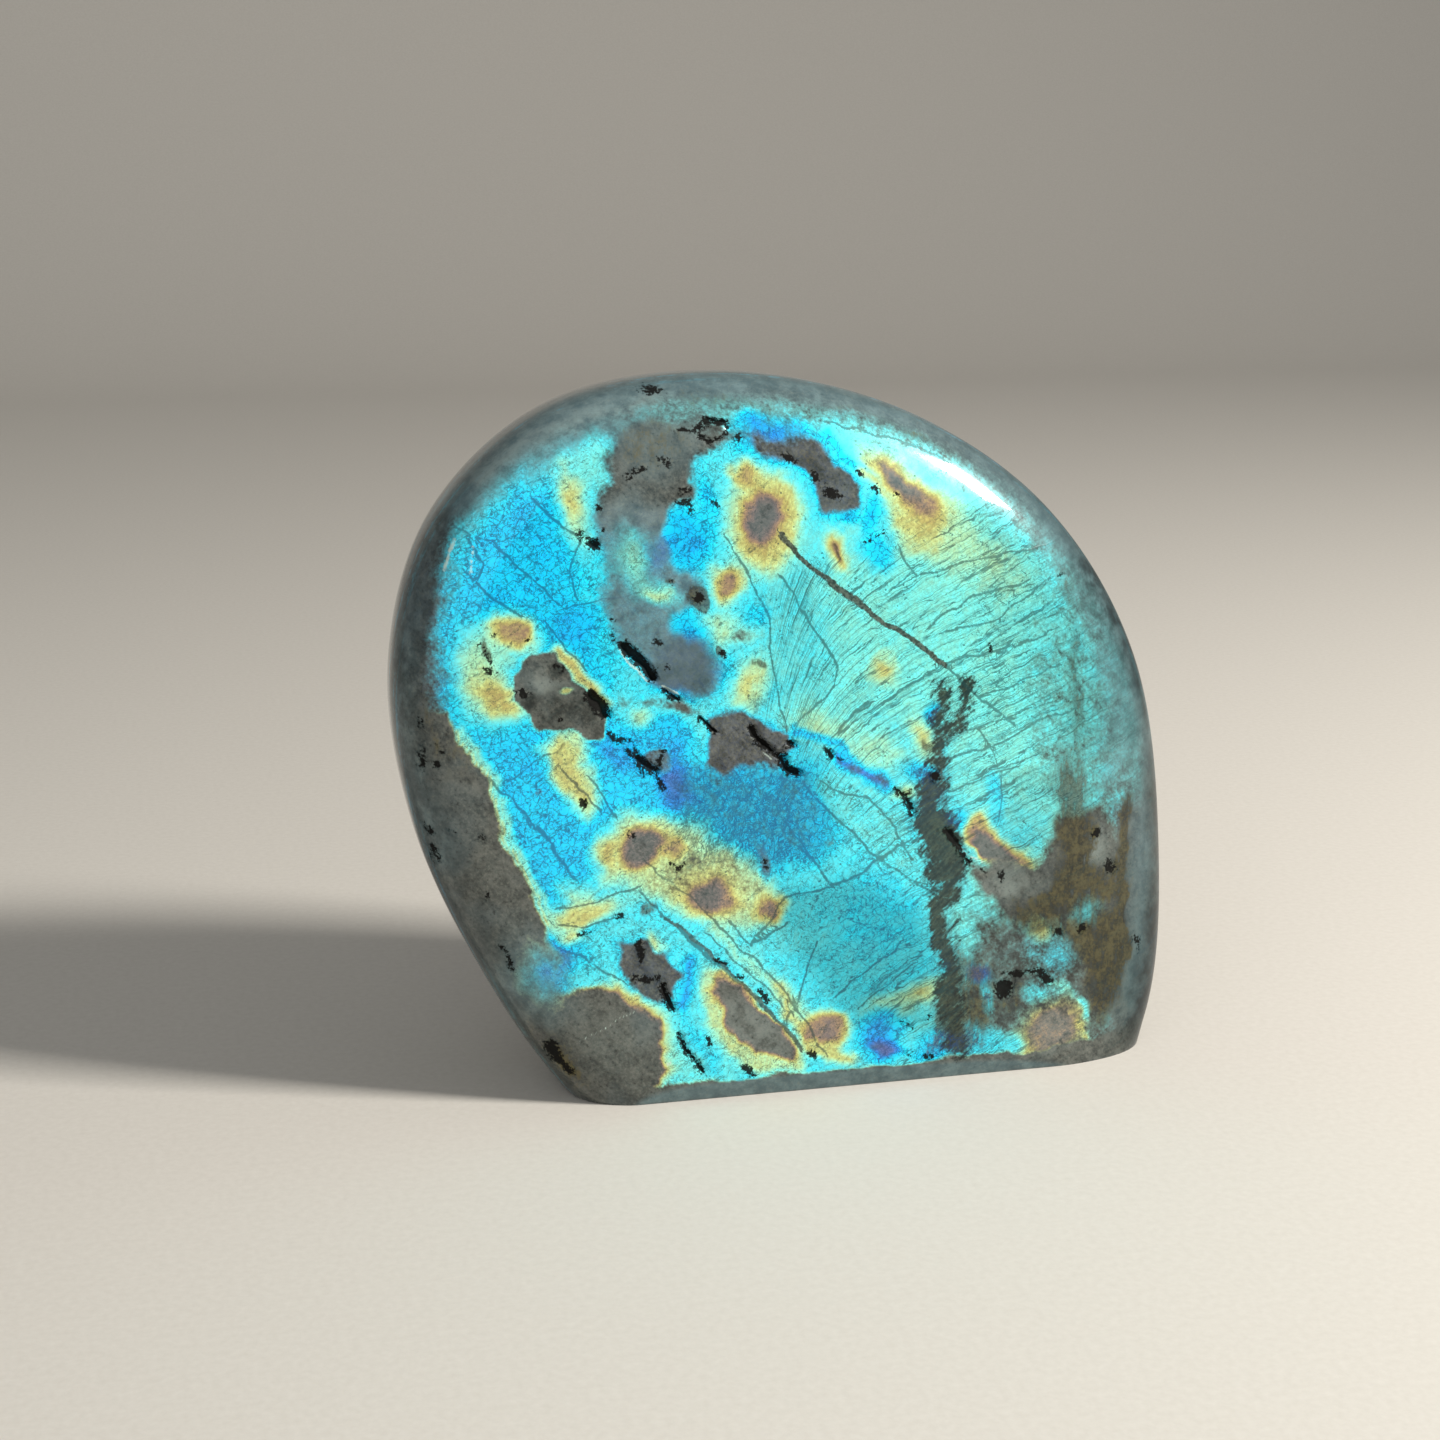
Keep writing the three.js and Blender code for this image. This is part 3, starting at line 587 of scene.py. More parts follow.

# the olive to brown field is staining and, on the lower-left flank, painted reflection of the warm floor;
# pale is the milky veils or, below 0, dark rock, and along the left and right rims painted shade; cool the
# bluish grey of haze and rim, and dim takes light from the flash, and along the right rim is painted shade.
# soft is the softness of the edge.
stainsAndPaintedLight = {
    "lowRust": area((36, 42), (39, 46), (41.5, 41), (43.5, 33), (43, 26), (37, 22), (34, 24), (37.5, 32),
        (36, 38), soft=5, rust=1),
    "rustStem": streak(1.2, (40.6, 64), (39.6, 58), (41.3, 50), (40.8, 42), soft=4, rust=0.75),
    "rimRust": streak(1.6, (48.8, 39), (48.3, 32), (47.8, 25), (47, 19), soft=1.4, rust=1),
    "footRust": oval(46.8, 15.6, 5, 9, soft=2.4, rust=1),
    "footRustTwo": oval(46, 8, 4, 8, -25, soft=3.4, rust=0.4),
    "rightVeilRust": oval(43, 26, 12, 7, 10, soft=5, rust=0.75),
    "squareRust": oval(30, 10.8, 4.4, 2.6, 20, soft=2.4, rust=0.6),
    "chainRust": oval(31.3, 13.6, 2.6, 2.4, 20, soft=1.6, rust=0.5),
    "edgeRust": streak(1, (-51.3, 75), (-51.8, 66), (-52.2, 57), (-51, 52), soft=2.4, rust=0.45),
    "leftBrown": oval(-49.3, 52, 4, 8, 25, soft=4, rust=0.35),
    # painted reflection: the warm brown of the floor mirrored on the lower-left corner and flank
    "cornerFloorReflection": oval(-35.5, 6.5, 8, 5, -55, soft=4, rust=0.8),
    "slopeFloorReflection": streak(3, (-48, 26), (-40, 10), (-36, 3), soft=5, rust=0.35),
    "topOlive": oval(-13, 98, 8, 3, -2, soft=3, rust=0.45),
    "topOliveTwo": oval(-6.4, 97, 4, 1, -8, soft=2, rust=0.4),
    "greyBrown": oval(-23.2, 93.3, 3.4, 3.4, 20, soft=2.4, rust=0.5),
    "greyBrownTwo": oval(-26.6, 90.2, 1.8, 1.8, soft=1.4, rust=0.7),
    "greyOlive": oval(-21, 92, 11, 8, -10, soft=4, rust=0.35),
    "rimOlive": streak(0.5, (4, 96.5), (12, 94.8), (18, 91.5), (24, 87.5), soft=1.2, rust=0.5),
    "rimSpeck": oval(17, 91.8, 4.4, 1.8, -32, soft=1.6, rust=0.5),
    "rightOlive": oval(33.4, 76, 3.4, 2, soft=3, rust=0.35),
    "rightOliveTwo": oval(40, 68.4, 2.4, 4, 10, soft=3, rust=0.5),
    "mintOlive": oval(36.5, 62.8, 1.8, 2, soft=2, rust=0.3),
    "seamSpark": oval(16.7, 48.7, 1.2, 2.4, 20, soft=1.2, rust=0.8),
    "seamOliveLow": streak(1.2, (18.8, 47), (19.2, 41), soft=2, rust=0.55),
    "seamBottom": streak(2.6, (21, 33), (21, 22), (22, 13), soft=2.4, rust=0.45),
    "ovalBrown": oval(-15, 71.2, 3, 4.8, 20, soft=1, rust=0.9),
    "dashBrown": oval(-18.6, 73.8, 1.8, 1.1, -20, soft=0.8, rust=0.8),
    "eyeStreak": streak(0.5, (-10, 85.2), (-8.6, 83.6), soft=0.7, rust=0.55),
    "lanternBrown": streak(0.5, (-34.6, 51.1), (-33.1, 52), soft=0.7, rust=0.7),
    "stepBrown": oval(-11.6, 63.5, 1.4, 2.2, 25, soft=0.8, rust=0.95),
    "stepBrownTwo": oval(-7.3, 61.2, 2.2, 1.5, -25, soft=0.9, rust=0.75),
    "stepBrownThree": oval(-3.6, 52.8, 1.5, 1.1, soft=0.9, rust=0.75),
    "stepBrownFour": oval(-8, 56.4, 3, 2.2, -20, soft=1.6, rust=0.5),
    "amberBrown": streak(0.6, (4.3, 77.8), (5.2, 75.6), soft=0.7, rust=0.85),
    "leftMark": streak(0.7, (-44.8, 66), (-43.4, 64), soft=0.8, rust=0.9),
    "brownDot": oval(-38.3, 44.8, 1.5, 1.4, soft=0.9, rust=0.5),
    "patchCBrown": oval(0.6, 89.5, 4, 2, -40, soft=2, rust=0.35),
    "greenishCorner": oval(28.6, 22.6, 7, 3.6, -10, soft=3, rust=0.3),
    "branchBrown": oval(-22.8, 28.4, 2.6, 2, soft=1.2, rust=0.6),
    "topCool": streak(5, (-48, 84), (-36, 94), (-18, 99), (0, 100), (18, 95), (32, 87), (42, 76),
        (48, 64), soft=8, cool=0.9),
    "rightCool": streak(4, (48, 66), (51, 52), (52, 38), (51.5, 24), (50, 8), soft=7, cool=0.9),
    # painted shade: the left and lower-left rims darkened where they turn away from the light
    "leftPaintedShade": streak(4, (-49, 82), (-54, 70), (-55, 58), (-54, 47), (-51, 36), soft=5, pale=-0.5),
    "cornerPaintedShade": streak(4, (-50, 34), (-44, 20), (-36, 5), soft=6, pale=-0.4),
    "greyTopDark": oval(-20, 90, 12, 10, soft=6, pale=-0.3),
    "patchCDark": streak(3, (0, 90), (4, 85.5), soft=3, pale=-0.5),
    "patchALight": oval(-36, 61, 6, 5, soft=4, pale=0.35),
    "patchADark": streak(2.4, (-31.5, 60.5), (-30, 56.5), (-29, 53.5), soft=2.4, pale=-0.45),
    "footMoss": area((16, 4), (19, 14), (22, 19), (27, 17), (28, 10), (26, 4), soft=4, rust=0.7),
    "rightMoss": area((30, 26), (36, 26), (40, 22), (47, 22), (48, 10), (43, 8), (42, 14), (37, 20),
        (32, 21), soft=4, rust=0.75),
    # painted shade: the right rim darkened towards the dark tone
    "rightRimPaintedShade": streak(5, (44, 72), (52, 58), (55.5, 40), (55.5, 24), (52, 6), soft=8, pale=-0.9),
    "mossDark": area((22, 28), (34, 26), (42, 24), (48, 20), (49, 6), (24, 4), (20, 14), soft=5,
        pale=-0.6),
    "rustAndReflectionDark": oval(40, 34, 9, 16, soft=5, pale=-0.5),
    "stemDark": streak(2.4, (40.6, 64), (39.6, 58), (41.3, 50), (40.8, 42), soft=3, pale=-0.4),
    "middleCool": area((-31, 83), (-28, 76), (-30, 71), (-26, 65), (-22, 60), (-13, 57.5), (-11, 63),
        (-13, 70), (-14, 77), (-19, 83), (-24, 85), soft=5, pale=0.25, cool=0.8),
    "fieldCool": area((28, 88), (37, 76), (43, 63), (44.5, 50), (45, 42), (60, 42), (60, 70), (42, 95),
        soft=9, cool=0.9),
    "greyTopCool": oval(-20, 92, 12, 10, soft=6, pale=0.1, cool=0.35),
    "topLeftCool": oval(-35, 91, 24, 8, 28, soft=6, cool=0.9),
    "wedgePale": oval(-8, 10, 12, 7, -45, soft=3, pale=0.45),
    "cornerTanPale": oval(36.8, 6, 9, 6, soft=4, pale=0.6),
    "arcPale": oval(29, 32, 9, 4, -30, soft=3, pale=0.4),
    "fieldDim": area((24, 84), (38, 76), (50, 60), (52, 36), (40, 38), (36, 50), (31, 66), soft=14,
        dim=0.45),
    "middleDim": area((-19, 48), (-12, 49), (0, 47), (5, 40), (3, 34), (-7, 33), (-18, 39), soft=6,
        dim=0.45),
    "mutedDim": area((-30, 82), (-28, 74), (-30, 70), (-26, 65), (-22, 61), (-18, 66), (-20, 74),
        (-22, 82), soft=5, dim=0.22),
    "patchADim": oval(-33, 57.4, 9, 9, soft=1.6, dim=0.3),
    "patchARockOne": oval(-38.5, 58.5, 2.6, 2, soft=1.4, pale=-0.9),
    "patchARockTwo": oval(-35, 62.7, 2.4, 1.6, soft=1.2, pale=-0.8),
    "patchARockThree": oval(-33.6, 57, 3, 1.8, -30, soft=1.4, pale=-0.9),
    "patchARockFour": oval(-36.2, 55.5, 2.8, 1.2, 20, soft=1.2, pale=-0.8),
    "patchALightTwo": oval(-36.8, 60.6, 2.2, 1.8, soft=1.4, pale=0.6),
    "patchALightThree": oval(-32.4, 60, 1.8, 1.6, soft=1.4, pale=0.6),
    "patchDRock": streak(1.2, (-24.6, 22.4), (-23.6, 19), (-21.8, 17), soft=1.6, pale=-0.7),
    "patchBRock": streak(1, (-12.6, 50.4), (-9.6, 51.2), (-7.4, 53), soft=1.6, pale=-0.6),
    "hazeCool": oval(-39, 19, 9, 12, 20, soft=7, cool=0.8),
    "leftCool": streak(3, (-50, 82), (-54.5, 70), (-55.5, 58), (-54.5, 47), (-51, 36), soft=5, cool=0.5),
    "cornerWarm": oval(-28, 10, 10, 8, soft=6, rust=0.12, pale=0.15),
    "eyeCorePale": oval(-5.8, 81.7, 3.6, 4.6, soft=2, pale=0.45),
    "rightGoldPale": oval(14.2, 85.9, 9, 4, -45, soft=3, pale=0.6, cool=0.4),
    "violetDim": oval(-17, 62, 9.5, 7.6, 10, soft=3, dim=0.55),
    "lowDim": area((-8, 27), (-4, 31), (6, 32), (14, 28), (18, 22), (18, 8), (8, 9), (2, 14), (-3, 20),
        soft=6, dim=0.62),
    "mossDim": area((30, 44), (50, 44), (50, 6), (44, 8), (40, 20), (28, 22), (28, 30), soft=5, dim=0.35),
    # painted shade: along the right rim the colour and flash are dimmed
    "rightPaintedShade": streak(11, (32, 94), (43, 83), (51, 69), (55.5, 52), (57, 32), (53, 4), soft=10, dim=1),
    "paleRight": oval(29.5, 27.5, 6, 4.4, soft=5, pale=0.9),
    "paleRightTwo": oval(43.6, 32.6, 5, 5, soft=4, pale=0.9),
    "paleRim": streak(4, (51, 52), (52, 38), (51, 24), (49, 12), soft=5, pale=0.1),
    "paleTopRim": streak(1.2, (-44, 88), (-36, 93), (-28, 96), (-20, 97), soft=3, pale=0.6),
    "paleCorner": oval(48, 7, 4, 8, -15, soft=3, pale=0.5),
}

# Black inclusions: flat dark marks with a ragged edge. Those with a depth are open pits, and strength
# below 1 makes a mark fainter.
inclusions = {
    "longPit": streak(1.5, (-25.4, 65.3), (-23.6, 63.4), (-21.6, 61), depth=1.2),
    "secondPit": streak(1, (-20, 58.9), (-18.4, 57.5), depth=0.9),
    "slitPit": streak(0.6, (-15.7, 55), (-14.4, 53.8), (-13.3, 52.9), depth=0.8),
    "middlePit": streak(0.95, (-8.3, 53), (-7.4, 51.6), (-4.8, 49.4), depth=1.1),
    "lowPit": streak(1.3, (-4, 48.6), (-3, 47.2), (-1.8, 46.4), depth=1),
    "roundPit": oval(-2.5, 50.4, 1.4, 1.5, depth=0.9),
    "smallPit": oval(2.8, 48.4, 0.9, 1.7, depth=0.7),
    "smallPitDash": streak(0.25, (3.6, 48.2), (5, 47.7)),
    "curvedPit": streak(1.9, (-30.3, 58.8), (-29.2, 57.8), (-28.5, 56), depth=1),
    "branchPit": streak(1.3, (-24.3, 49.7), (-22.9, 48.4), (-21.9, 47.7), depth=0.8),
    "branchRight": streak(0.8, (-22.6, 48.4), (-21.4, 46.8), (-20.6, 45.8)),
    "branchLeft": streak(0.9, (-25.4, 50.6), (-24.2, 49.4), (-23.6, 47.6)),
    "branchArm": streak(0.6, (-21.3, 48.6), (-20.7, 50.2)),
    "branchTrail": streak(0.5, (-27.8, 53.2), (-26.4, 52.2), (-25, 51.9), (-24, 50.4)),
    "upperPit": oval(-29.4, 79.3, 2.2, 1.4, -30, depth=0.9),
    "upperPitTwo": oval(-30.9, 80.5, 1.1, 1.2, -60, depth=0.6),
    "tee": streak(0.5, (-17.8, 84), (-16, 84.2), (-15.5, 82.7)),
    "teeTop": oval(-16.2, 85.7, 1.1, 0.7),
    "teeSide": streak(0.5, (-12.6, 84.6), (-12.1, 83.4)),
    "ring": streak(0.7, (-14.6, 93.6), (-13.2, 95), (-11, 94.7), (-10, 93.6), (-11, 92.4), (-12.6, 91.9),
        (-14.4, 92.9), (-14.6, 93.6), depth=0.6),
    "ringTail": streak(0.5, (-17.4, 93.8), (-16, 93.6), (-14.6, 93.4)),
    "ringDot": oval(-8.8, 92.1, 1, 1.3),
    "greyDotOne": oval(-23.8, 87.7, 1.2, 0.9),
    "greyDotTwo": streak(0.6, (-23, 88.5), (-21.8, 88.9)),
    "greyDotThree": oval(-19.3, 89.4, 2.2, 0.9, -20, strength=0.8),
    "greyDotFour": oval(-28, 80.9, 1, 0.4, strength=0.8),
    "greyDotFive": oval(-28.3, 84, 0.5, 0.5),
    "topRimBlack": oval(-19.5, 98.6, 2, 0.9),
    "patchCOne": oval(4.2, 84.8, 3.2, 1.5, -25, strength=0.85),
    "patchCTwo": oval(-1.8, 89.6, 1.8, 1.2, -30, strength=0.8),
    "patchCThree": oval(1.6, 86.9, 1.4, 2.2, 20, strength=0.6),
    "edgeDotOne": oval(8.4, 87.1, 1.6, 0.8, -20, strength=0.8),
    "edgeDotTwo": oval(10.6, 84.6, 1.7, 1, -25),
    "edgeDotThree": oval(13.7, 83.8, 0.9, 0.9, strength=0.8),
    "blueDash": streak(0.7, (9, 77.8), (11.4, 79), strength=0.7),
    "ovalBlack": oval(-14.9, 71.3, 1.2, 1.8, 20),
    "dashBlack": oval(-18.4, 73.6, 0.7, 0.6),
    "stepBlack": oval(-11.5, 63.4, 0.7, 1.2, 20),
    "violetDot": oval(-19.4, 62.4, 0.7, 0.6),
    "violetDotTwo": oval(-21, 65.4, 1.1, 0.6, -20),
    "trailOne": oval(-27, 69, 0.8, 0.6),
    "trailTwo": streak(0.3, (-27, 67.6), (-26.6, 66.2)),
    "trailThree": oval(-27.9, 67.1, 0.6, 0.5),
    "leftMarkOne": streak(0.5, (-44.8, 65.8), (-43.3, 63.8)),
    "leftMarkTwo": oval(-43.6, 62.6, 0.9, 0.4, -30),
    "leftMarkThree": oval(-43.2, 67, 0.5, 0.4),
    "leftMarkFour": oval(-38.5, 66.5, 0.8, 0.6, 60),
    "patchADashOne": streak(0.3, (-35.2, 63.2), (-34.2, 62.6)),
    "patchABlack": oval(-39.6, 59.7, 1.7, 1, -10, strength=0.85),
    "patchALow": oval(-34.7, 55.4, 0.8, 0.7, strength=0.8),
    "lanternFoot": oval(-31.8, 43.9, 1.2, 1.2, depth=0.4),
    "lilacDotOne": oval(-25.3, 38.9, 0.9, 0.8),
    "lilacBranch": streak(0.35, (-20, 35), (-18.9, 34.1), (-18, 34.4)),
    "smallEyeSlit": streak(0.4, (-6.5, 34.4), (-5.9, 33.2)),
    "greyLeftOne": oval(-53, 50.6, 0.9, 2.6, -5),
    "greyLeftTwo": oval(-51.5, 50.2, 0.9, 0.9),
    "greyLeftThree": oval(-53, 56, 0.7, 1.2, strength=0.8),
    "greyLeftFour": streak(0.25, (-51.4, 53.4), (-50.7, 52)),
    "greyLeftFive": streak(0.4, (-52.6, 41.6), (-52.2, 40.2)),
    "greyLeftSix": streak(0.45, (-51.9, 38), (-51.3, 36)),
    "greyLeftSeven": oval(-49.6, 40.8, 0.5, 0.4),
    "greyLeftEight": oval(-46, 39.4, 0.45, 0.45),
    "greyLeftNine": oval(-45.2, 31.5, 0.4, 0.5),
    "slopeSquiggle": streak(0.32, (-43.8, 24.2), (-43, 23.6), (-42.2, 21.4), (-41.1, 20)),
    "patchDOne": streak(0.6, (-24.5, 24.2), (-24.2, 21.6)),
    "patchDTwo": streak(0.6, (-25.4, 19.2), (-23.4, 18.5), (-22, 18.7)),
    "patchDThree": streak(1.1, (-21.4, 17.2), (-20.8, 15.4), (-20.2, 13.8), depth=0.8),
    "cyanDotOne": oval(-32.5, 25.5, 1.7, 0.7, 25),
    "cyanDotTwo": oval(-27, 27.6, 1, 0.7),
    "cyanDotThree": oval(-22.8, 28.3, 1, 0.8, strength=0.8),
    "footSlit": streak(0.7, (-19.3, 10.3), (-17.6, 7.2), (-15.8, 4.4), depth=0.9),
    "wedgeDotOne": streak(0.6, (-13.4, 20.6), (-12.2, 19.8)),
    "wedgeDotTwo": oval(-10.2, 18, 0.9, 0.5, -30),
    "wedgeDotThree": streak(0.5, (-7.6, 15.9), (-6.2, 14)),
    "wedgeEnd": oval(0.6, 5.6, 1.6, 0.9, -35),
    "wedgeFoot": streak(1.1, (-9.6, 4.9), (-8.6, 3.6)),
    "wedgeSide": oval(-14.8, 9, 0.9, 2, 25, strength=0.8),
    "footDotOne": oval(14.2, 4.6, 1.4, 1, strength=0.8),
    "footDotTwo": streak(0.35, (13.4, 9.6), (14.8, 8.4)),
    "footDotThree": oval(17.6, 9.8, 1.6, 0.9, 40, strength=0.8),
    "footDotFour": streak(0.6, (16, 4), (19.6, 3.6), strength=0.8),
    "squareBlack": area((27.3, 14), (28.6, 14.6), (30.2, 13.9), (30.2, 12.2), (28.4, 11.7), (27.4, 12.6),
        depth=0.25),
    "chainOne": streak(0.7, (29, 15.4), (32.2, 15.1), (34.6, 14.9), strength=0.85),
    "chainTwo": streak(1.1, (34.8, 14.6), (36.2, 13.4)),
    "goldFleckDot": oval(37.2, 20.6, 1.9, 1.1, -20),
    "tealDot": oval(41.2, 20.4, 1.6, 1.2, strength=0.85),
    "paleDotOne": oval(28.4, 29.6, 1.4, 1.3, strength=0.9),
    "paleDotTwo": oval(43.3, 34.4, 1.2, 1.5, -20),
    "paleDotThree": oval(46.2, 29.4, 1.5, 2.3, 35, depth=0.4),
    "paleDotFour": oval(25.6, 30.6, 1, 0.6, -30),
    "seamStar": streak(0.9, (12.6, 43), (13.6, 41.6), (14.8, 39.4), depth=0.6),
    "seamStarArm": streak(0.5, (13.6, 41.8), (14.8, 42.6)),
    "seamBlack": streak(0.9, (19.9, 36.8), (21.4, 34.4), (23.2, 31.8), depth=0.5),
    "seamTop": oval(18.3, 44.8, 1.3, 2, 15, strength=0.9),
    "rimBlack": oval(38.6, 71.2, 0.8, 0.6),
    "mintDash": streak(0.28, (26.8, 63.2), (27.1, 62.4)),
    "cornerBlack": streak(1.6, (-37, 9), (-35.6, 7), (-34.4, 5.6), strength=0.85),
    "rightRimDot": oval(50.6, 17, 1.4, 3, 30, strength=0.6),
}

# Long cracks across the face, drawn with the width that each shows
cracks = {
    "mainCrack": streak(0.46, (-3.2, 79.5), (-0.6, 76), (5, 71.5), (10.8, 67.1), (16.6, 63), (20.3, 60)),
    "mainCrackEnd": streak(0.18, (20.3, 60), (22.6, 57.8), (26.1, 55), (30.1, 51.5)),
    "fanLeft": streak(0.08, (-11, 79.6), (-7.1, 72.4), (-5.6, 67.8), (-5.2, 62.8), (-4.3, 56.4),
        (-3.2, 53.4)),
    "fanRight": streak(0.16, (-3.6, 73.5), (0.4, 67.3), (3.2, 63.2), (4.4, 60.6), (3.9, 58.4),
        (2.6, 56.8), (0.9, 55.2), (-1.6, 53)),
    "blueEdge": streak(0.12, (-1.2, 45.1), (4.3, 39.4), (9.2, 34.1), (14.8, 30.8), (19.2, 26.8)),
    "bandEdge": streak(0.1, (1.3, 44.9), (8.1, 42), (12.5, 37.6), (15.5, 33.1)),
    "starStem": streak(0.12, (-3.5, 39.8), (-0.5, 35.6), (3.2, 30.6)),
    "starRight": streak(0.16, (3.2, 30.3), (6.6, 31.4), (10.4, 33.4), (15.5, 36)),
    "starFarRight": streak(0.06, (10.4, 33.6), (14, 31.4), (17.5, 29.1)),
    "starLeft": streak(0.16, (3.2, 30.3), (-3.5, 29), (-8.2, 22.8)),
    "starUp": streak(0.06, (3.2, 30.3), (0.4, 34.1), (-1.5, 36.3)),
    "starFoot": streak(0.12, (-3.4, 24.7), (-8.2, 22.8), (-11.9, 26.1)),
    "downLine": streak(0.08, (0.8, 21.6), (-1.8, 14.4), (-3.5, 9.5)),
    "slantOne": streak(0.1, (13.3, 21.1), (9.5, 18.2), (3.8, 14.1)),
    "slantTwo": streak(0.08, (15.3, 17.8), (10.8, 14.7), (7.5, 12.2)),
    "wedgeCrack": streak(0.34, (-20.9, 27.2), (-12.6, 19.6), (-7.2, 14.3), (-1, 6.6)),
    "wedgeLine": streak(0.1, (-24, 31), (-16.5, 22.4), (-13.5, 19.8), (-10.4, 17)),
    "wedgeLineTwo": streak(0.1, (-23.2, 35.3), (-12.8, 25), (-8, 20.4), (-1.7, 12), (2.6, 5.4)),
    "wedgeLineThree": streak(0.06, (-15, 24.4), (-7.8, 17.4), (-4, 12.8)),
    "azureOne": streak(0.1, (-48.3, 82), (-43.2, 80), (-38.4, 75.3), (-34, 71.5)),
    "azureTwo": streak(0.12, (-47.2, 76.5), (-44.1, 72.7), (-39.5, 69.8)),
    "azureThree": streak(0.1, (-37.3, 85.3), (-34.1, 82.1), (-31.2, 80.1)),
    "azureFour": streak(0.14, (-46, 80.4), (-44.3, 77.1), (-45.5, 75)),
    "azureFive": streak(0.06, (-31.2, 79.6), (-32.6, 75.7), (-31.5, 72.2)),
    "azureSix": streak(0.06, (-23, 72.4), (-28.6, 71.6), (-33.3, 70.7)),
    "azureSeven": streak(0.06, (-36, 68.6), (-33.6, 64.8), (-31, 62.6)),
    "lowOne": streak(0.14, (-44.9, 47.9), (-40.4, 43.3), (-36.7, 39.1), (-32.8, 33.4)),
    "lowTwo": streak(0.08, (-48.4, 50.9), (-45, 47.3)),
    "lowThree": streak(0.12, (-34.1, 49), (-29.4, 42.7)),
    "lowFour": streak(0.1, (-30.5, 47.6), (-27.2, 41.5)),
    "lowFive": streak(0.06, (-42.2, 47.2), (-38, 50), (-35.1, 51.3)),
    "lowSix": streak(0.12, (-39.5, 41.5), (-36, 38.4), (-33.1, 33.5)),
    "footOne": streak(0.08, (-35.8, 29.6), (-29.9, 30.4), (-23.9, 31.8)),
    "footTwo": streak(0.1, (-35.3, 27.2), (-31.8, 26.5), (-28.1, 27.3)),
    "footThree": streak(0.08, (-36.3, 24.3), (-32, 21.6), (-26.7, 18.6)),
    "fieldOne": streak(0.1, (17.6, 59.3), (23.8, 61.6), (31.1, 63), (37, 64.6)),
    "fieldTwo": streak(0.1, (25.2, 56), (30.4, 57.1), (37.6, 59)),
    "fieldThree": streak(0.16, (19.9, 46.9), (28.4, 49), (34.6, 51.5), (40, 52.6)),
    "fieldFour": streak(0.08, (20.5, 42.7), (26.3, 44.2), (31.4, 45)),
    "fieldFive": streak(0.1, (16, 72.6), (23.4, 74.6), (33.5, 75.6), (39, 76.2)),
    "fieldSix": streak(0.12, (17.6, 65.6), (24, 69.3), (33.2, 71.1)),
    "fieldSeven": streak(0.1, (19.5, 64.5), (28.4, 66.4), (35.2, 70.4)),
    "fieldEight": streak(0.06, (22.6, 58.8), (28.4, 61.6), (35.6, 63.8)),
    "fieldNine": streak(0.14, (13.6, 77), (14.6, 74.5), (16, 72.6)),
    "fieldTen": streak(0.06, (21.4, 50.4), (29, 52.6), (37, 54)),
    "creamEdge": streak(0.05, (25, 51), (28, 46), (28.6, 41), (28, 37.6)),
    "rimLine": streak(0.14, (3.8, 94.1), (10.1, 92.5), (15, 91), (20.3, 88.6), (25, 85)),
}

# The dark feathery seam on the right: stretches of a wandering line, each with its own width
seams = {
    "seamHead": streak(1.4, (19.7, 57), (19.3, 54), (19, 50.6)),
    "seamArm": streak(0.9, (23.6, 57.4), (22.6, 54.2), (21.6, 51.4), (19.8, 50)),
    "seamNeck": streak(1.6, (19.3, 50), (18.6, 46.6), (18.2, 44)),
    "seamUpper": streak(3, (18, 44), (16.8, 40.6), (17.6, 37)),
    "seamMiddle": streak(4.6, (18, 38), (19.4, 34.6), (19.6, 30)),
    "seamLower": streak(2.5, (19.6, 31), (19.7, 26), (19.7, 20), (20.6, 14)),
    "seamFoot": streak(3.2, (20.6, 15), (21.4, 10), (21.2, 5)),
}

# Fine white scratches and glints near the left rim and over the lower grey window
glints = {
    "rimGlint": streak(0.3, (-47.6, 80), (-48.4, 78.4), (-49.3, 76)),
    "rimGlintTwo": streak(0.25, (-45.4, 79.4), (-45.8, 77.4), (-46.2, 75.6)),
    "cornerScratch": streak(0.12, (-33, 10), (-27.4, 13.4), (-24.2, 15)),
    "pitLip": streak(0.3, (-26, 64.8), (-24.4, 62.6), (-22.4, 60.4)),
    "pitLipTwo": streak(0.3, (-20.2, 59.6), (-18.2, 58.3)),
    "pitLipThree": streak(0.04, (-6.4, 49.6), (-5, 48.4)),
    "greenLip": streak(0.35, (21.6, 34.4), (23.4, 32.6), (25.4, 31.8)),
    "cornerGlint": oval(-20.4, 6.3, 0.9, 0.5, 30),
}


# How far the edges of marks wander, as shares of one push
ragged = {"face": 0.95, "pitGap": 0.4, "glintGap": 0.3, "seamGap": 1.0, "cracks": 0.5}
farOff = 9.0                   # a gap that is farther than any mark's edge matters
outlinedPitWidth = 2.4         # the width over which a pit with an outline sinks
pitSkirt = 0.1                 # pits sink a little inside their dark edge


def push(x, y, z, shift=0.0):
    # how far a place is pushed along one axis: broad, middling and fine wanderings together
    x, z = x + 40 * shift, z + 17 * shift
    return 1.0 * wander(x, y, z, 6.0) + 0.6 * wander(x, y, z, 2.3) + 0.42 * wander(x, y, z, 1.05)


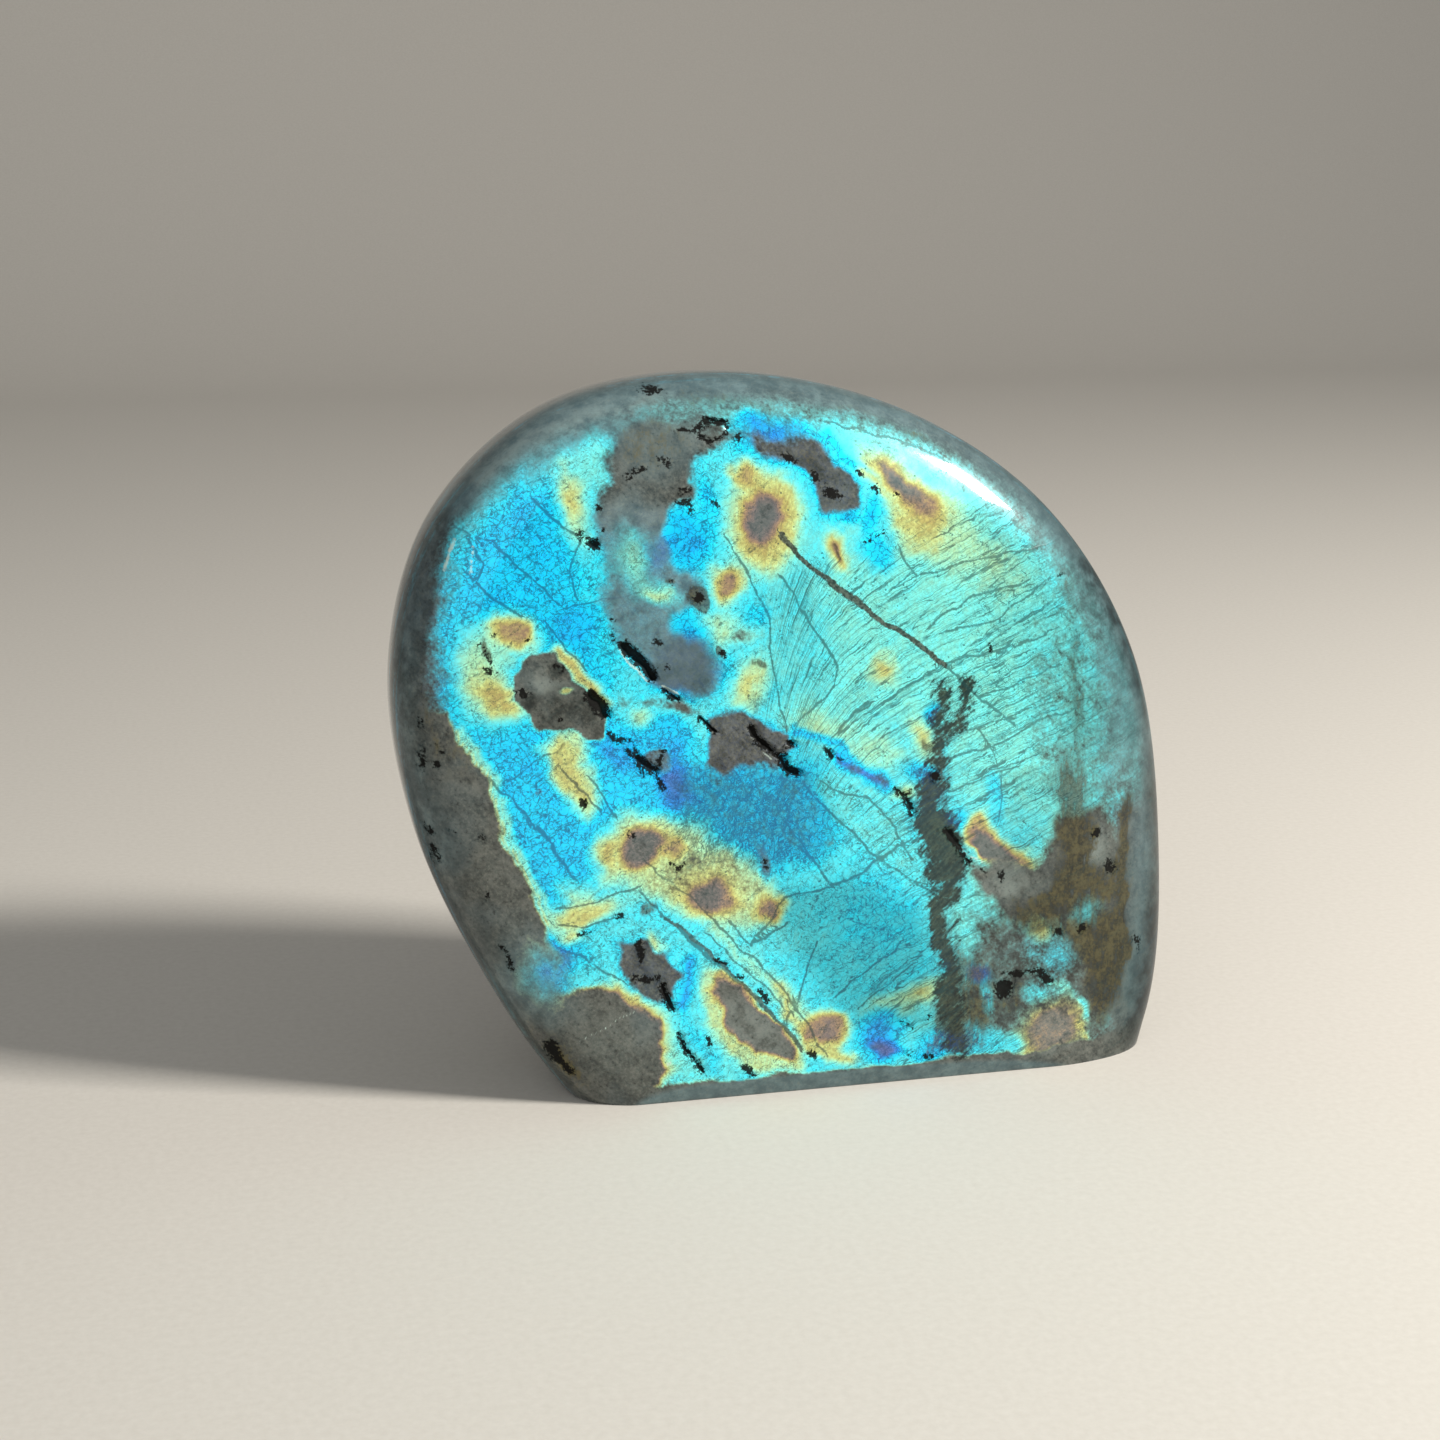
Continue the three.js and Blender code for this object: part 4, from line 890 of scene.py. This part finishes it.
def paintFace(x, y, z):
    # the material's fields at each point: how it is coloured, and how far it is from dark marks and cracks
    pushX, pushZ = push(x, y, z), push(x, y, z, 1)
    fields = {key: np.zeros_like(x) for key in ("hue", "flash", "rust", "pale", "cool", "dim")}
    fields["hue"] = 0.62 + 0.06 * wander(x, y, z, 9.0)
    rows = []
    for soft, hue, flash, mark in faceMarks.values():
        rows.append((mark, {"soft": soft, "hue": hue, "flash": flash}))
    rows += [(mark, mark) for mark in stainsAndPaintedLight.values()]
    for mark, values in rows:
        gap = gapTo(mark, x + ragged["face"] * pushX, z + ragged["face"] * pushZ)
        mask = cover(gap, values["soft"])
        for key, field in fields.items():
            if values.get(key) is not None:
                field += (values[key] - field) * mask
    for key, marks in (("pitGap", inclusions), ("glintGap", glints), ("seamGap", seams)):
        gap = np.full_like(x, farOff)
        for mark in marks.values():
            faint = (1 - mark.get("strength", 1.0)) * 0.5
            gap = np.minimum(gap, gapTo(mark, x + ragged[key] * pushX, z + ragged[key] * pushZ) + faint)
        fields[key] = gap
    # cracks keep the signed distance to the nearest one, which stays sharp between vertices
    for key in ("crackSide", "crackHalf", "crackGap"):
        fields[key] = np.full_like(x, farOff)
    for mark in cracks.values():
        side = nearLine(mark["line"], x + ragged["cracks"] * pushX, z + ragged["cracks"] * pushZ)
        half = mark["width"] / 2
        closer = np.abs(side) - half < fields["crackGap"]
        for key, value in (("crackGap", np.abs(side) - half), ("crackSide", side), ("crackHalf", half)):
            fields[key] = np.where(closer, value, fields[key])
    return fields


def pitDepth(x, y, z):
    # how far the open pits sink in: half-ellipse bowls across each pit's width
    pushX, pushZ = push(x, y, z), push(x, y, z, 1)
    sunk = np.zeros_like(x)
    for mark in inclusions.values():
        if "depth" in mark:
            gap = gapTo(mark, x + ragged["pitGap"] * pushX, z + ragged["pitGap"] * pushZ) + pitSkirt
            across = min(mark["size"]) / 2 if "size" in mark else mark.get("width", outlinedPitWidth) / 2
            inside = np.clip(-gap / across, 0, 1)
            sunk = np.maximum(sunk, mark["depth"] * np.sqrt(inside * (2 - inside)))
    return sunk


def addSkin(name, x, y, z):
    # a closed skin: a pole in the middle of the face, rings of points, and a pole behind
    rings, columns = x.shape
    points = np.stack([x, y, z], -1) * mm
    inner = points[1:-1].reshape(-1, 3)
    vertices = np.vstack([inner, points[0, :1], points[-1, :1]])
    firstPole, lastPole = len(inner), len(inner) + 1
    ring = np.arange(rings - 3)[:, None] * columns
    here = np.arange(columns)[None, :]
    after = (here + 1) % columns
    corners = [ring + here, ring + after, ring + columns + after, ring + columns + here]
    quads = np.stack(corners, -1).reshape(-1, 4)
    last = (rings - 3) * columns
    frontFan = np.stack([np.full(columns, firstPole), after[0], here[0]], -1)
    backFan = np.stack([np.full(columns, lastPole), last + here[0], last + after[0]], -1)
    mesh = bpy.data.meshes.new(name)
    mesh.from_pydata(vertices.tolist(), [], quads.tolist() + frontFan.tolist() + backFan.tolist())
    mesh.update()
    piece = bpy.data.objects.new(name, mesh)
    bpy.context.collection.objects.link(piece)
    return piece


def onSkin(grid):
    # a value for each ring and column, in the order of the skin's vertices
    return np.concatenate([grid[1:-1].reshape(-1), grid[0, :1], grid[-1, :1]])


def addStone():
    x, y, z, reach, front = pebble()
    y = y + pitDepth(x, y, z) * front * (reach < 0.97)
    sine = math.sin(math.radians(shape["bevelDegrees"]))
    cosine = math.cos(math.radians(shape["bevelDegrees"]))
    proud = softAbove((shape["bevelY"] - y) * cosine - z * sine, shape["bevelSoftness"])
    y, z = y + proud * cosine, z + proud * sine
    z = softAbove(z, shape["baseSoftness"])
    low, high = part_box("stone")
    x = x + (low.x + high.x) / 2 / mm - (x.min() + x.max()) / 2
    y = y + (low.y + high.y) / 2 / mm - (y.min() + y.max()) / 2
    print("stone surface worked out")

    stone = addSkin("polished_stone", x, y, z)
    fields = paintFace(x, y, z)
    # the face's own marks end where the surface turns away at the rim
    turned = np.clip((reach - 0.93) / 0.07, 0, 1) * front + (1 - front)
    bevelled = np.clip(proud / 0.12, 0, 1)
    turned = np.maximum(turned, 0.5 * bevelled)
    fields["side"] = turned
    fields["flash"] = fields["flash"] * (1 - turned) * (1 - bevelled)
    fields["cool"] = np.maximum(fields["cool"], 0.7 * bevelled)
    fields["rust"] = fields["rust"] * (1 - 0.6 * turned) * front
    fields["pale"] = fields["pale"] * front
    fields["cool"] = fields["cool"] * front + 0.45 * (1 - front)
    for key in ("pitGap", "crackGap", "crackSide", "glintGap", "seamGap"):
        fields[key] = fields[key] * front + farOff * (1 - front)
    for key, grid in fields.items():
        layer = stone.data.attributes.new(key, "FLOAT", "POINT")
        layer.data.foreach_set("value", onSkin(grid).astype(np.float32))
    stone.data.shade_smooth()
    print("stone marked")
    return stone


# The stone's finish

finish = {
    "flashStops": [            # hue, then screen colour
        (0.0, 108, 111, 110), (0.08, 132, 118, 114), (0.16, 164, 136, 108), (0.24, 190, 178, 106),
        (0.32, 204, 216, 138), (0.42, 176, 234, 188), (0.52, 134, 240, 226), (0.62, 88, 232, 244),
        (0.72, 30, 224, 252), (0.82, 6, 204, 255), (0.91, 32, 142, 232), (1.0, 88, 106, 170),
    ],
    "steepness": 8.0,          # how the cleavage lines steepen towards the left of the green field
    "roughness": 0.28,
    "coatRoughness": 0.06,
    "glow": 0.16,              # painted glow: light the flash colours give off as emission, though the stone is no lamp
}


# Screen colours of the body, the stains with the painted floor reflection, the painted shade and the dark
# marks
tones = {
    "greyDark": (56, 60, 56),
    "greyLight": (106, 108, 101),
    "coolDark": (84, 110, 116),
    "coolLight": (118, 146, 150),
    "bluish": (90, 112, 118),
    "sideGrey": (48, 54, 54),
    "sideCool": (74, 98, 102),
    "lightFleck": (134, 138, 124),
    "milk": (140, 150, 144),
    "rockAndShade": (30, 35, 32),
    "darkFleck": (30, 31, 26),
    "rustAndReflectionDark": (26, 25, 13),
    "rustAndReflectionLight": (92, 84, 50),
    "seamHalo": (44, 66, 56),
    "seamDark": (11, 14, 11),
    "seamLight": (62, 72, 56),
    "lineGreen": (20, 60, 62),
    "lineBlue": (4, 58, 112),
    "crackDark": (34, 38, 32),
    "crackLight": (92, 100, 88),
    "glint": (206, 226, 214),
    "pit": (14, 13, 11),
}


def stoneMaterial():
    g = Graph("labradorite")
    where = g.node("ShaderNodeTexCoord", out="Object")
    place = g.mapped(where, scale=(1000, 1000, 1000))   # millimetres
    fieldNames = ("hue", "flash", "rust", "pale", "cool", "dim", "side")
    hue, flash, rust, pale, cool, dim, side = [g.attribute(name) for name in fieldNames]
    tone = {name: solid(*colour) for name, colour in tones.items()}
    stops = [(position, paint(*colour)) for position, *colour in finish["flashStops"]]
    parts = g.tree.nodes.new("ShaderNodeSeparateXYZ")
    g.feed(parts.inputs[0], place)
    across, upward = Wire(g, parts.outputs[0]), Wire(g, parts.outputs[2])

    broad = g.noise(place, 0.09, 3.0, 0.55, 0.6)
    middle = g.noise(place, 0.45, 4.0, 0.6)
    fine = g.noise(place, 2.2, 4.0, 0.65)
    upright = g.grain(place, 84, 0.35, 1.5)
    barbs = g.grain(place, 42, 0.42, 2.0)
    cleaved = g.grain(place, -48, 0.4, 1.5, 4.0)

    # cleavage: level lines of height less a curve that is steep at the left and slopes gently at the right
    curve = across * 0.42 - (across * -0.2).exponent() * finish["steepness"]
    level = upward - curve + (middle - 0.5) * 1.6

    def levelLines(perMm, thin, shift):
        spot = g.node("ShaderNodeCombineXYZ", None, {0: level * perMm + shift, 1: across * 0.035, 2: 0.0})
        return g.smooth((g.noise(spot, 1.0, 2.0, 0.5) - 0.5).size(), thin, 0.0)

    # the grey body: cloudy, streaked along its cleavage, cooler at the rim, with milky veils and dark flecks
    grainy = middle * 0.4 + fine * 0.35 + cleaved * 0.25
    body = g.mix(g.smooth(grainy, 0.36, 0.64), tone["greyDark"], tone["greyLight"])
    coolBody = g.mix(g.smooth(middle, 0.3, 0.7), tone["coolDark"], tone["coolLight"])
    body = g.mix(cool, body, coolBody)
    body = g.mix(g.smooth(broad, 0.45, 0.7) * 0.3, body, tone["bluish"])
    body = g.mix(g.smooth(side, 0.3, 1.0) * 0.5, body, g.mix(cool, tone["sideGrey"], tone["sideCool"]))
    body = g.mix(g.smooth(fine, 0.52, 0.8) * 0.35, body, tone["lightFleck"])
    body = g.mix(pale * g.smooth(middle, 0.25, 0.6), body, tone["milk"])
    # below 0, pale mixes towards the dark tone: dark rock on the face, painted shade along the left and right
    # rims
    body = g.mix(pale * -1.0 * g.smooth(middle, 0.8, 0.3), body, tone["rockAndShade"])
    flecks = g.smooth(fine + (cleaved - 0.5) * 0.3, 0.42, 0.28) * (0.6 - 0.5 * cool).clamped()
    body = g.mix(flecks, body, tone["darkFleck"])

    # the flash over it, its hue wandering a little and its strength broken up finely
    alongLevel = g.node("ShaderNodeCombineXYZ", None, {0: level * 0.8, 1: across * 0.1, 2: 0.0})
    streaks = g.noise(alongLevel, 1.0, 4.0, 0.65)
    wiggled = hue + (middle - 0.5) * 0.17 + (fine - 0.5) * 0.12 + (streaks - 0.5) * 0.12
    colours = g.node("ShaderNodeValToRGB", {"stops": stops}, {0: wiggled})
    blueness = g.smooth(hue, 0.6, 0.76)
    bent = g.warped(g.warped(place, 0.6, 1.6), 1.7, 0.8)
    light = 0.72 + blueness * 0.13 + (fine - 0.5) * (1.2 - 0.4 * blueness) + (middle - 0.5) * 0.8
    light = light + (streaks - 0.5) * 0.6
    shimmer = g.mix(light.clamped(), (0.42, 0.46, 0.52, 1), (1.16, 1.16, 1.14, 1))
    colours = g.mix(1.0, colours, shimmer, "MULTIPLY")
    between = flash * (1 - flash) * (4 - 3 * cool)
    broken = (fine - 0.5) * 0.7 + (middle - 0.5) * 0.9 + (cleaved - 0.5) * 0.5
    edge = g.smooth(flash + broken * between, 0.06, 0.68)

    # behind and round the sides the same stone flashes in quieter, broader sheets
    layered = g.grain(place, -28, 0.02, 0.06, 3.0) + (middle - 0.5) * 0.35 + (fine - 0.5) * 0.3
    sheets = g.smooth(layered, 0.53, 0.72) * g.smooth(side, 0.6, 1.0) * 0.55
    sideHue = g.noise(place, 0.03, 2.0, 0.5) * 0.5 + 0.48
    sideColours = g.node("ShaderNodeValToRGB", {"stops": stops}, {0: sideHue + (middle - 0.5) * 0.15})
    body = g.mix(sheets, body, g.mix(1.0, sideColours, (0.5, 0.56, 0.58, 1), "MULTIPLY"))
    colour = g.mix(edge, body, colours)

    # rust and olive staining in upright plumes, with painted reflection of the warm floor on the lower-left
    # flank, and the dark seam with its slanting barbs
    stainAndReflection = rust * (0.4 + (upright - 0.5) * 2.0 + (fine - 0.5) * 1.8 + (middle - 0.5) * 2.2 + rust * 0.5)
    rustAndReflectionGrain = g.smooth(upright * 0.25 + fine * 0.35 + middle * 0.4, 0.4, 0.6)
    rustAndReflectionColour = g.mix(rustAndReflectionGrain, tone["rustAndReflectionDark"], tone["rustAndReflectionLight"])
    colour = g.mix(g.smooth(stainAndReflection, 0.06, 0.62) * 0.93, colour, rustAndReflectionColour)
    seamGap = g.attribute("seamGap")
    seam = g.smooth(seamGap + (barbs - 0.5) * 4.2 + (fine - 0.5) * 3.2 + (middle - 0.5) * 3.4, 1.15, -0.35)
    colour = g.mix(g.smooth(seamGap + (barbs - 0.5) * 3, 2.0, -1.5) * 0.4, colour, tone["seamHalo"])
    seamColour = g.mix(g.smooth(fine * 0.4 + barbs * 0.6, 0.4, 0.6), tone["seamDark"], tone["seamLight"])
    colour = g.mix(seam * 0.96, colour, seamColour)

    colour = g.mix(dim, colour, g.mix(1.0, colour, (0.3, 0.33, 0.32, 1), "MULTIPLY"))

    # crazing: fine broken cells in the blue, long cleavage lines in the green, a few slanting ones
    cells = g.node("ShaderNodeTexVoronoi", {"feature": "DISTANCE_TO_EDGE"}, {"Vector": bent, "Scale": 0.8})
    small = g.node("ShaderNodeTexVoronoi", {"feature": "DISTANCE_TO_EDGE"}, {"Vector": bent, "Scale": 1.9})
    crazed = g.smooth(cells, 0.085, 0.0) * g.smooth(fine, 0.34, 0.46)
    crazed = crazed + g.smooth(small, 0.12, 0.02) * g.smooth(middle, 0.42, 0.56) * 0.7
    crazed = crazed * (0.25 + 0.6 * blueness)
    lines = levelLines(0.5, 0.018, 0.0) * g.smooth(middle, 0.3, 0.56)
    lines = lines + levelLines(0.24, 0.007, 31.0) + levelLines(1.15, 0.03, 57.0) * 0.45
    lines = lines + levelLines(2.6, 0.07, 83.0) * 0.3
    lowDown = g.smooth(upward, 48, 38)
    lines = lines * g.smooth(across - lowDown * 14, -9, -2) * g.smooth(upward - across * 0.35, 77, 72)
    lines = lines * (0.95 - 0.4 * blueness)
    hatch = g.smooth((g.grain(bent, 28, 0.06, 0.9) - 0.5).size(), 0.028, 0.0)
    hatch = hatch * g.smooth(across - lowDown * 14, 0, -8)
    steep = g.smooth((g.grain(bent, 66, 0.07, 1.1) - 0.5).size(), 0.035, 0.0)
    steep = steep + g.smooth((g.grain(bent, 70, 0.12, 2.0) - 0.5).size(), 0.05, 0.0) * 0.6
    steep = steep * g.smooth(across, -21, -17) * g.smooth(across, 1, -3)
    steep = steep * g.smooth(upward, 32, 36) * g.smooth(upward, 48, 45)
    crossing = g.smooth((g.grain(bent, -43, 0.05, 0.6) - 0.5).size(), 0.014, 0.0) * g.smooth(broad, 0.6, 0.4)
    lines = lines + hatch * 0.7 + steep
    offCrack = g.attribute("crackSide").size() - g.attribute("crackHalf")
    offCrack = offCrack + (fine - 0.5) * 0.6 + (middle - 0.5) * 0.25
    drawn = g.smooth(offCrack, 0.22, 0.02) * g.smooth(g.attribute("crackGap"), 0.7, 0.45)
    speckles = g.node("ShaderNodeTexVoronoi", {"feature": "F1"}, {"Vector": place, "Scale": 1.1})
    speckled = g.smooth(speckles, 0.2, 0.1) * g.smooth(middle, 0.46, 0.6)
    dark = (crazed + lines + crossing + speckled).clamped()
    dark = dark.larger(drawn * 0.95)
    bold = drawn * g.smooth(g.attribute("crackHalf"), 0.12, 0.2)
    deep = g.mix(blueness, tone["lineGreen"], tone["lineBlue"])
    colour = g.mix(dark * (0.2 + 0.6 * edge), colour, deep)
    boldColour = g.mix(g.smooth(fine, 0.4, 0.6), tone["crackDark"], tone["crackLight"])
    colour = g.mix(bold * 0.85, colour, boldColour)

    glint = g.smooth(g.attribute("glintGap") + (fine - 0.5) * 0.5, 0.12, -0.1)
    colour = g.mix(glint * 0.75, colour, tone["glint"])
    pitGap = g.attribute("pitGap") + (fine - 0.5) * 2.2 + (middle - 0.5) * 1.3
    pit = g.smooth(pitGap, 0.14, -0.12)
    colour = g.mix(pit * 0.97, colour, tone["pit"])

    lit = edge * (1 - pit) * (1 - dark * 0.8) * (1 - seam) * (1 - 0.7 * dim) * (1 - bold)
    # painted glow: the flash colours, where they show, are fed to the emission
    glow = g.mix(lit, (0, 0, 0, 1), colours)
    height = (1 - pit) * 0.4 + (1 - drawn) * 0.12
    bump = g.node("ShaderNodeBump", None, {"Height": height, "Strength": 0.35, "Distance": 0.0003})
    hollow = g.smooth(pitGap, 0.5, 0.0)
    rough = finish["roughness"] + hollow * 0.5 + dark * 0.1

    g.feed(g.shader.inputs["Base Color"], colour)
    g.feed(g.shader.inputs["Roughness"], rough)
    g.feed(g.shader.inputs["Metallic"], lit * 0.2)
    g.feed(g.shader.inputs["Normal"], bump)
    g.feed(g.shader.inputs["Coat Weight"], (1 - hollow) * (1 - 0.65 * dim))
    g.shader.inputs["Coat IOR"].default_value = 1.4
    g.shader.inputs["Specular IOR Level"].default_value = 0.12
    g.shader.inputs["Coat Roughness"].default_value = finish["coatRoughness"]
    g.shader.inputs["IOR"].default_value = 1.56
    g.feed(g.shader.inputs["Emission Color"], glow)
    g.shader.inputs["Emission Strength"].default_value = finish["glow"]
    return g.material


stone = addStone()
stone.data.materials.append(stoneMaterial())
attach(stone, "root")
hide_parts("stone")
print("stone finished")


# Stage: a pale sweep, flat under the stone and curving up behind it

stage = {"halfWidth": 2.2, "front": -2.2, "bendStart": 0.9, "bendRadius": 0.5, "top": 2.2, "bendSteps": 24}


def addStage():
    # profile: a straight floor, a quarter circle and a straight wall, carried along X
    turn = np.linspace(0, np.pi / 2, stage["bendSteps"])
    depth = stage["bendStart"] + stage["bendRadius"] * np.sin(turn)
    height = stage["bendRadius"] * (1 - np.cos(turn))
    depth = np.concatenate([[stage["front"]], depth, [depth[-1]]])
    height = np.concatenate([[0], height, [stage["top"]]])
    sides = np.array([-stage["halfWidth"], stage["halfWidth"]])
    points = np.stack([np.repeat(sides, len(depth)), np.tile(depth, 2), np.tile(height, 2)], -1)
    step = np.arange(len(depth) - 1)
    faces = np.stack([step, step + len(depth), step + len(depth) + 1, step + 1], -1)
    mesh = bpy.data.meshes.new("sweep")
    mesh.from_pydata(points.tolist(), [], faces.tolist())
    mesh.shade_smooth()
    sweep = bpy.data.objects.new("sweep", mesh)
    bpy.context.collection.objects.link(sweep)
    g = Graph("pale_paper")
    where = g.node("ShaderNodeTexCoord", out="Object")
    grain = g.noise(where, 900, 3.0, 0.6)
    g.feed(g.shader.inputs["Base Color"], g.mix(grain, solid(206, 200, 190), solid(222, 217, 208)))
    g.shader.inputs["Roughness"].default_value = 0.9
    mesh.materials.append(g.material)


addStage()
print("stage ready")
